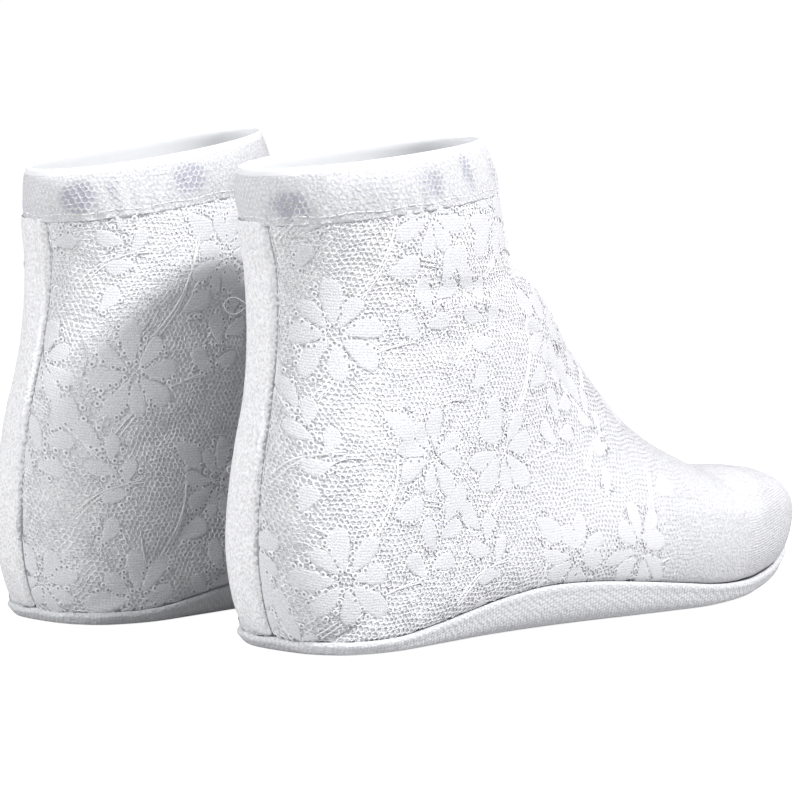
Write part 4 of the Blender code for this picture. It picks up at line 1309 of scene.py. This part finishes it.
def cuff_cloth(stem, letter, side, material):
    """The turned casing over its elastic: puffed, puckered along its stitching and net all over."""
    rings, outs = (np.array(part) for part in zip(*band_rings()))
    count = rings.shape[1]
    along = lengths_along(np.vstack([rings[0], rings[0][:1]]))
    turns = 2 * np.pi * along[:-1] / along[-1]
    depths = np.array([band_depth(share, turns, side) for share in BAND_SHARES])
    outside = rings + outs * depths[..., None]
    inside = (rings - outs * (BAND_INSIDE - BAND_BULGE))[::3]
    middle = (outside[0] + inside[0]) / 2
    half = (outside[0] - inside[0]) / 2
    angles = np.linspace(math.pi, 0, RIM_STEPS + 2)[1:-1]
    rim = [middle + half * math.cos(angle) + (0, 0, RIM_RISE * math.sin(angle)) for angle in angles]
    grid = np.concatenate([outside, inside[::-1], rim])
    world = posed(grid.reshape(-1, 3), side).reshape(grid.shape)
    faces = []
    for row in range(len(grid)):
        faces += between_rings(row * count, (row + 1) % len(grid) * count, count)
    up = BAND_HEIGHT * (1 - np.array(BAND_SHARES))
    pattern = np.full(grid.shape[:2] + (2,), INSIDE_PATTERN)
    pattern[..., 0] = along[:-1]
    pattern[: len(up), :, 1] = up[:, None]
    obj = mesh_object(stem + "_cloth", world, faces, material, pattern)
    # grey of the elastic and painted shade of the dark inside, seen through the casing
    marked(obj, "elastic", elastic_and_shade_shows(letter, pattern.reshape(-1, 2)))
    reworked(obj, face_outwards)
    closed = np.concatenate([world, world[:, :1]], axis=1)[: len(up)]
    flat = np.stack(np.broadcast_arrays(along, up[:, None]), axis=-1)
    normals = outward_normals(closed, 1)
    if np.sum(normals * (closed - closed.mean(axis=(0, 1)))) < 0:
        normals = -normals
    return obj, Cloth(closed, flat, normals, False, opens=letter)


def cuff_net(stem, cloth, stuffs):
    """The casing's net, and its lower row of stitches."""
    length = float(cloth.flat[..., 0].max())
    no_petals = np.zeros((0, 6))
    box = (0.0, 0.0, length, BAND_HEIGHT)
    net = net_mesh(stem + "_net", cloth, box, no_petals, np.zeros((0, 2)), stuffs["net"])
    share = np.linspace(0, 1, STITCH_POINTS)
    count = int(length / STITCH_PITCH)
    lines = []
    for k in range(count):
        along = k * length / count + STITCH_LENGTH * share
        track = np.column_stack([along, STITCH_UP + STITCH_STRAYS * np.sin(share + k)])
        lines.append((track, *STITCH_THREAD))
    return [net, threads_mesh(stem + "_stitches", cloth, lines, no_petals, stuffs["threads"])]


def tube(name, points, radius, material):
    """A round thread along points in the row's millimetres."""
    along = unit(np.gradient(points, axis=0))
    aside = unit(np.cross(along, TUBE_START))
    up = np.cross(along, aside)
    steps = ring_steps(TUBE_SIDES) * radius
    rings = points[:, None] + steps[:, :1] * aside[:, None] + steps[:, 1:] * up[:, None]
    starts = [TUBE_SIDES * k for k in range(len(points))]
    faces = [tuple(range(TUBE_SIDES))[::-1], tuple(range(starts[-1], starts[-1] + TUBE_SIDES))]
    for start in starts[:-1]:
        faces += between_rings(start, start + TUBE_SIDES, TUBE_SIDES)
    return mesh_object(name, rings, faces, material)


def smooth_path(points):
    last = len(points) - 1
    return np.array([row_at(points, place) for place in np.linspace(0, last, last * PULLED_STEPS + 1)])


def pulled_threads(stem, letter, side, cloth, material):
    """Loops of thread pulled out of a panel near the back seam."""
    out = np.array(PULLED_OUT) * (1, -side, 1)
    for index, (x, y, size) in enumerate(PULLED[letter]):
        foot, _ = cloth.lay(np.array((x, y)), PULLED_FOOT)
        shape = [foot + size * (out * reach + (0, 0, rise)) for reach, rise in PULLED_SHAPE]
        yield tube(stem + "_loop" + str(index), smooth_path(shape), PULLED_RADIUS, material)


def opaque(colour):
    return (*colour, 1)


def added(tree, kind, inputs, **settings):
    """A new node; each of its inputs is a fixed value or another node's output."""
    node = tree.nodes.new("ShaderNode" + kind)
    for name, value in settings.items():
        setattr(node, name, value)
    for socket, value in inputs.items():
        if isinstance(value, bpy.types.NodeSocket):
            tree.links.new(value, node.inputs[socket])
        else:
            node.inputs[socket].default_value = value
    return node


def new_group(name, inputs, outputs):
    """A node group's tree, with the ends of its inputs and outputs."""
    tree = bpy.data.node_groups.new(name, "ShaderNodeTree")
    for in_out, sockets in (("INPUT", inputs), ("OUTPUT", outputs)):
        for socket, kind in sockets.items():
            tree.interface.new_socket(name=socket, in_out=in_out, socket_type="NodeSocket" + kind)
    return tree, tree.nodes.new("NodeGroupInput").outputs, tree.nodes.new("NodeGroupOutput").inputs


def blended(tree, factor, colour, other, how="MIX"):
    inputs = {"Factor": factor, "A": colour, "B": other}
    return added(tree, "Mix", inputs, data_type="RGBA", blend_type=how).outputs["Result"]


def noise(tree, vector, scale, detail=3.0):
    inputs = {"Vector": vector, "Scale": scale, "Detail": detail}
    return added(tree, "TexNoise", inputs).outputs["Fac"]


def paling_group():
    """A colour that turns into a paler one between two places."""
    inputs = {"Colour": "Color", "Pale": "Color", "Place": "Float", "From": "Float", "To": "Float"}
    tree, given, ends = new_group("paling", inputs, {"Colour": "Color"})
    limits = {"Value": given["Place"], "From Min": given["From"], "From Max": given["To"]}
    share = added(tree, "MapRange", limits).outputs["Result"]
    tree.links.new(blended(tree, share, given["Colour"], given["Pale"]), ends["Colour"])


def fuzz_group():
    """Fuzz of one size all over the cloth, however far the lace is drawn in: its height and its grains."""
    inputs = {"Scale": "Float", "Darkest": "Float"}
    tree, given, ends = new_group("fuzz", inputs, {"Height": "Float", "Grain": "Float"})
    height = noise(tree, added(tree, "TexCoord", {}).outputs["Object"], given["Scale"])
    limits = {"From Min": GRAIN_BETWEEN[0], "From Max": GRAIN_BETWEEN[1], "To Min": given["Darkest"]}
    grain = added(tree, "MapRange", {"Value": height, **limits})
    tree.links.new(height, ends["Height"])
    tree.links.new(grain.outputs["Result"], ends["Grain"])


def from_group(tree, name, inputs):
    """The outputs of a node group placed in a material with its own values."""
    return added(tree, "Group", inputs, node_tree=bpy.data.node_groups[name]).outputs


def finished(name):
    """A new material with the roughness, sheen and specular of its finish, and its node tree."""
    material = bpy.data.materials.new(name)
    material.use_nodes = True
    shader = material.node_tree.nodes["Principled BSDF"]
    for socket, value in zip(("Roughness", "Sheen Weight", "Specular IOR Level"), FINISHES[name]):
        shader.inputs[socket].default_value = value
    return material, material.node_tree


def plain_cloth(name, colour):
    material, tree = finished(name)
    tree.nodes["Principled BSDF"].inputs["Base Color"].default_value = opaque(colour)
    return material


def dressed(material, colour, height, depth, strength):
    """The material with its colour, and with a bump of a depth in millimetres."""
    tree = material.node_tree
    shader = tree.nodes["Principled BSDF"]
    bump = added(tree, "Bump", {"Height": height, "Distance": depth * MM, "Strength": strength})
    tree.links.new(colour, shader.inputs["Base Color"])
    tree.links.new(bump.outputs["Normal"], shader.inputs["Normal"])
    return material


def ramped(tree, source, low, high, between):
    ramp = added(tree, "ValToRGB", {"Fac": source})
    for k, colour in enumerate((low, high)):
        ramp.color_ramp.elements[k].position = between[k]
        ramp.color_ramp.elements[k].color = opaque(colour)
    return ramp.outputs["Color"]


def pattern_at(tree, scale_x=1, scale_y=1):
    """The cloth's pattern, in centimetres, scaled along and up."""
    uv = added(tree, "UVMap", {}, uv_map="pattern").outputs["UV"]
    return added(tree, "Mapping", {"Vector": uv, "Scale": (scale_x, scale_y, 1)}).outputs["Vector"]


def bands(tree, vector, direction, scale, distortion):
    inputs = {"Vector": vector, "Scale": scale, "Distortion": distortion, "Detail": WAVE_DETAIL}
    return added(tree, "TexWave", inputs, wave_type="BANDS", bands_direction=direction).outputs["Fac"]


def attribute(tree, name):
    return added(tree, "Attribute", {}, attribute_name=name).outputs["Fac"]


def worked_out(tree, operation, *values):
    return added(tree, "Math", dict(enumerate(values)), operation=operation).outputs["Value"]


def paled(tree, colour, pale, between, axis="X"):
    """The colour, turning into a paler one along an axis of the pattern, in centimetres."""
    place = added(tree, "SeparateXYZ", {"Vector": pattern_at(tree)}).outputs[axis]
    values = {"Colour": colour, "Pale": opaque(pale), "Place": place, "From": between[0], "To": between[1]}
    return from_group(tree, "paling", values)["Colour"]


def lining_material():
    """The light lining seen through the net, painted grey as shade in its holes: patches, fuzz, a faint knit,
    painted light whiter up the leg, and a darker seam of painted shadow.
    """
    material, tree = finished("lining")
    pattern = pattern_at(tree)
    patches = noise(tree, pattern, LINING_PATCHES)
    colour = ramped(tree, patches, LINING_DARK, LINING_LIGHT, COLOUR_STOPS["lining"])
    colour = paled(tree, colour, LINING_MIDDLE, LINING_MIDDLE_PALES)
    colour = paled(tree, colour, LINING_TOE, LINING_PALES)
    # painted light: the lining turns whiter higher up the leg
    colour = paled(tree, colour, LINING_PAINTED_LIGHT, LINING_PAINTED_LIGHT_PALES, "Y")
    fuzz = from_group(tree, "fuzz", {"Scale": FUZZ_SCALE, "Darkest": GRAIN})
    colour = blended(tree, 1.0, colour, fuzz["Grain"], "MULTIPLY")
    # painted shadow along the back seam
    colour = blended(tree, attribute(tree, "seam"), colour, opaque(SEAM_SHADE))
    rows = bands(tree, pattern, "Y", *KNIT_ROWS)
    knit = worked_out(tree, "MULTIPLY_ADD", rows, KNIT, fuzz["Height"])
    return dressed(material, colour, knit, *BUMPS["lining"])


def petal_material():
    """Dense cloth-stitch with fine ribs across."""
    material, tree = finished("petals")
    rows = bands(tree, pattern_at(tree), "Y", *PETAL_RIBS)
    wales = noise(tree, pattern_at(tree, *PETAL_STRETCH), *PETAL_STITCHES)
    stitches = worked_out(tree, "MULTIPLY_ADD", rows, PETAL_ROWS, wales)
    colour = ramped(tree, stitches, PETAL_DARK, PETAL_LIGHT, COLOUR_STOPS["petals"])
    colour = paled(tree, colour, NET_TOE, NET_PALES)
    return dressed(material, colour, stitches, *BUMPS["petals"])


def net_material():
    """The net's thread, with its fuzz; the finer net towards the toes is darker."""
    material, tree = finished("net")
    fuzz = from_group(tree, "fuzz", {"Scale": FUZZ_SCALE, "Darkest": GRAIN})
    colour = ramped(tree, fuzz["Height"], NET_DARK, NET_LIGHT, COLOUR_STOPS["net"])
    colour = paled(tree, colour, NET_TOE, NET_PALES)
    colour = blended(tree, 1.0, colour, fuzz["Grain"], "MULTIPLY")
    return dressed(material, colour, fuzz["Height"], *BUMPS["net"])


def band_material():
    """The casing: white, with grey here and there: the elastic, and painted shade of its dark inside, showing
    through.
    """
    material, tree = finished("band")
    patches = noise(tree, pattern_at(tree, *BAND_PATCH_STRETCH), *BAND_PATCHES)
    streaks = bands(tree, pattern_at(tree, *BAND_LINE_STRETCH), "X", *BAND_LINES)
    shown = worked_out(tree, "MULTIPLY_ADD", streaks, BAND_STREAKED, patches)
    shown = worked_out(tree, "MULTIPLY", shown, attribute(tree, "elastic"))
    colour = ramped(tree, shown, BAND_LIGHT, BAND_DARK, COLOUR_STOPS["band"])
    return dressed(material, colour, patches, *BUMPS["band"])


def sole_material():
    """A dobby weave: small raised bumps in slanting rows."""
    material, tree = finished("sole_cloth")
    place = added(tree, "TexCoord", {}).outputs["Object"]
    slant = tuple(math.radians(angle) for angle in SOLE_SLANT)
    slanting = added(tree, "Mapping", {"Vector": place, "Rotation": slant}).outputs["Vector"]
    inputs = {"Vector": slanting, "Scale": 1 / (SOLE_BUMP_PITCH * MM), "Randomness": SOLE_RANDOMNESS}
    from_bump = added(tree, "TexVoronoi", inputs).outputs["Distance"]
    colour = ramped(tree, from_bump, SOLE_LIGHT, SOLE_DARK, COLOUR_STOPS["sole_cloth"])
    rise = worked_out(tree, "SUBTRACT", 1.0, from_bump)
    return dressed(material, colour, rise, *BUMPS["sole_cloth"])


def cloth_stuffs():
    paling_group()
    fuzz_group()
    return {
        "lining": lining_material(),
        "net": net_material(),
        "petals": petal_material(),
        "eyelets": plain_cloth("eyelet_shade", EYELET_SHADE),
        "threads": plain_cloth("gimp", THREAD_WHITE),
        "band": band_material(),
        "sole": sole_material(),
    }


def declare(obj, node, pieces):
    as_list(pieces)
    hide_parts(node)
    for piece in [obj] + pieces:
        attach(piece, "root")


def cover(letter, side, stuffs):
    """One cover: two side panels, a sole and a cuff band."""
    for part_name, outward in (("outer_panel_", 1), ("inner_panel_", -1)):
        stem = part_name + letter
        base, pieces, cloth = lace_panel(stem, outward, side, stuffs)
        if outward < 0:
            pieces += pulled_threads(stem, letter, side, cloth, stuffs["threads"])
        declare(base, stem, pieces)
    stem = "sole_" + letter
    declare(sole_cloth(stem, side, stuffs["sole"]), stem, [])
    stem = "cuff_band_" + letter
    band, cloth = cuff_cloth(stem, letter, side, stuffs["band"])
    declare(band, stem, cuff_net(stem, cloth, stuffs))


def camera():
    data = bpy.data.cameras.new("camera")
    data.lens = CAMERA_LENS
    data.sensor_width = CAMERA_SENSOR
    data.dof.use_dof = False
    turn = (math.radians(90 - CAMERA_DOWN), 0, math.radians(CAMERA_TURN))
    bpy.context.scene.camera = placed("camera", data, CAMERA_PLACE, turn)


def area_light(name, place, size, power, colour):
    data = bpy.data.lights.new(name, "AREA")
    data.shape = "DISK"
    data.size = size
    data.energy = power
    data.color = colour
    towards = Vector(LIGHT_AIM) - Vector(place)
    placed(name, data, place, towards.to_track_quat("-Z", "Y").to_euler())


def brightened(tree, strength, seen_strength, socket):
    """The backdrop looks whiter to the camera than the light that it gives."""
    seen = added(tree, "LightPath", {}).outputs["Is Camera Ray"]
    brighter = added(tree, "MapRange", {"Value": seen, "To Min": strength, "To Max": seen_strength})
    tree.links.new(brighter.outputs["Result"], socket)


def studio():
    floor = bpy.data.meshes.new("floor")
    half = FLOOR_SIZE / 2
    corners = [(-half, -half, 0), (half, -half, 0), (half, half, 0), (-half, half, 0)]
    floor.from_pydata(corners, [], [range(4)])
    pale = plain_cloth("pale_floor", FLOOR_COLOUR)
    shader = pale.node_tree.nodes["Principled BSDF"]
    shader.inputs["Emission Color"].default_value = (1, 1, 1, 1)
    brightened(pale.node_tree, FLOOR_GLOW, FLOOR_SEEN_GLOW, shader.inputs["Emission Strength"])
    floor.materials.append(pale)
    placed("floor", floor, (0, 0, -FLOOR_DROP))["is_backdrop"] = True
    world = bpy.data.worlds.new("studio")
    world.use_nodes = True
    background = world.node_tree.nodes["Background"]
    background.inputs["Color"].default_value = WORLD_COLOUR
    brightened(world.node_tree, WORLD_STRENGTH, BACKDROP_STRENGTH, background.inputs["Strength"])
    bpy.context.scene.world = world
    for light in LIGHTS:
        area_light(*light)
    bpy.context.scene.view_settings.view_transform = "Standard"


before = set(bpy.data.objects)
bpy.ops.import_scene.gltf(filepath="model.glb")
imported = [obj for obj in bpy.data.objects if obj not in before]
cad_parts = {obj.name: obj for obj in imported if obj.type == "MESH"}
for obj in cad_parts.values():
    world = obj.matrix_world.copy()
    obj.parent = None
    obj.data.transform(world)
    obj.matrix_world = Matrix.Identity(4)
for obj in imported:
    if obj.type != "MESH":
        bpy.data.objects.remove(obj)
cad_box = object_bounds()
bpy.ops.object.select_all(action="DESELECT")
stuffs = cloth_stuffs()
for letter, side in SIDES:
    cover(letter, side, stuffs)
camera()
studio()
boxes = {"cad": cad_box, "scene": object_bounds()}
plain = {name: [[float(value) for value in corner] for corner in box] for name, box in boxes.items()}
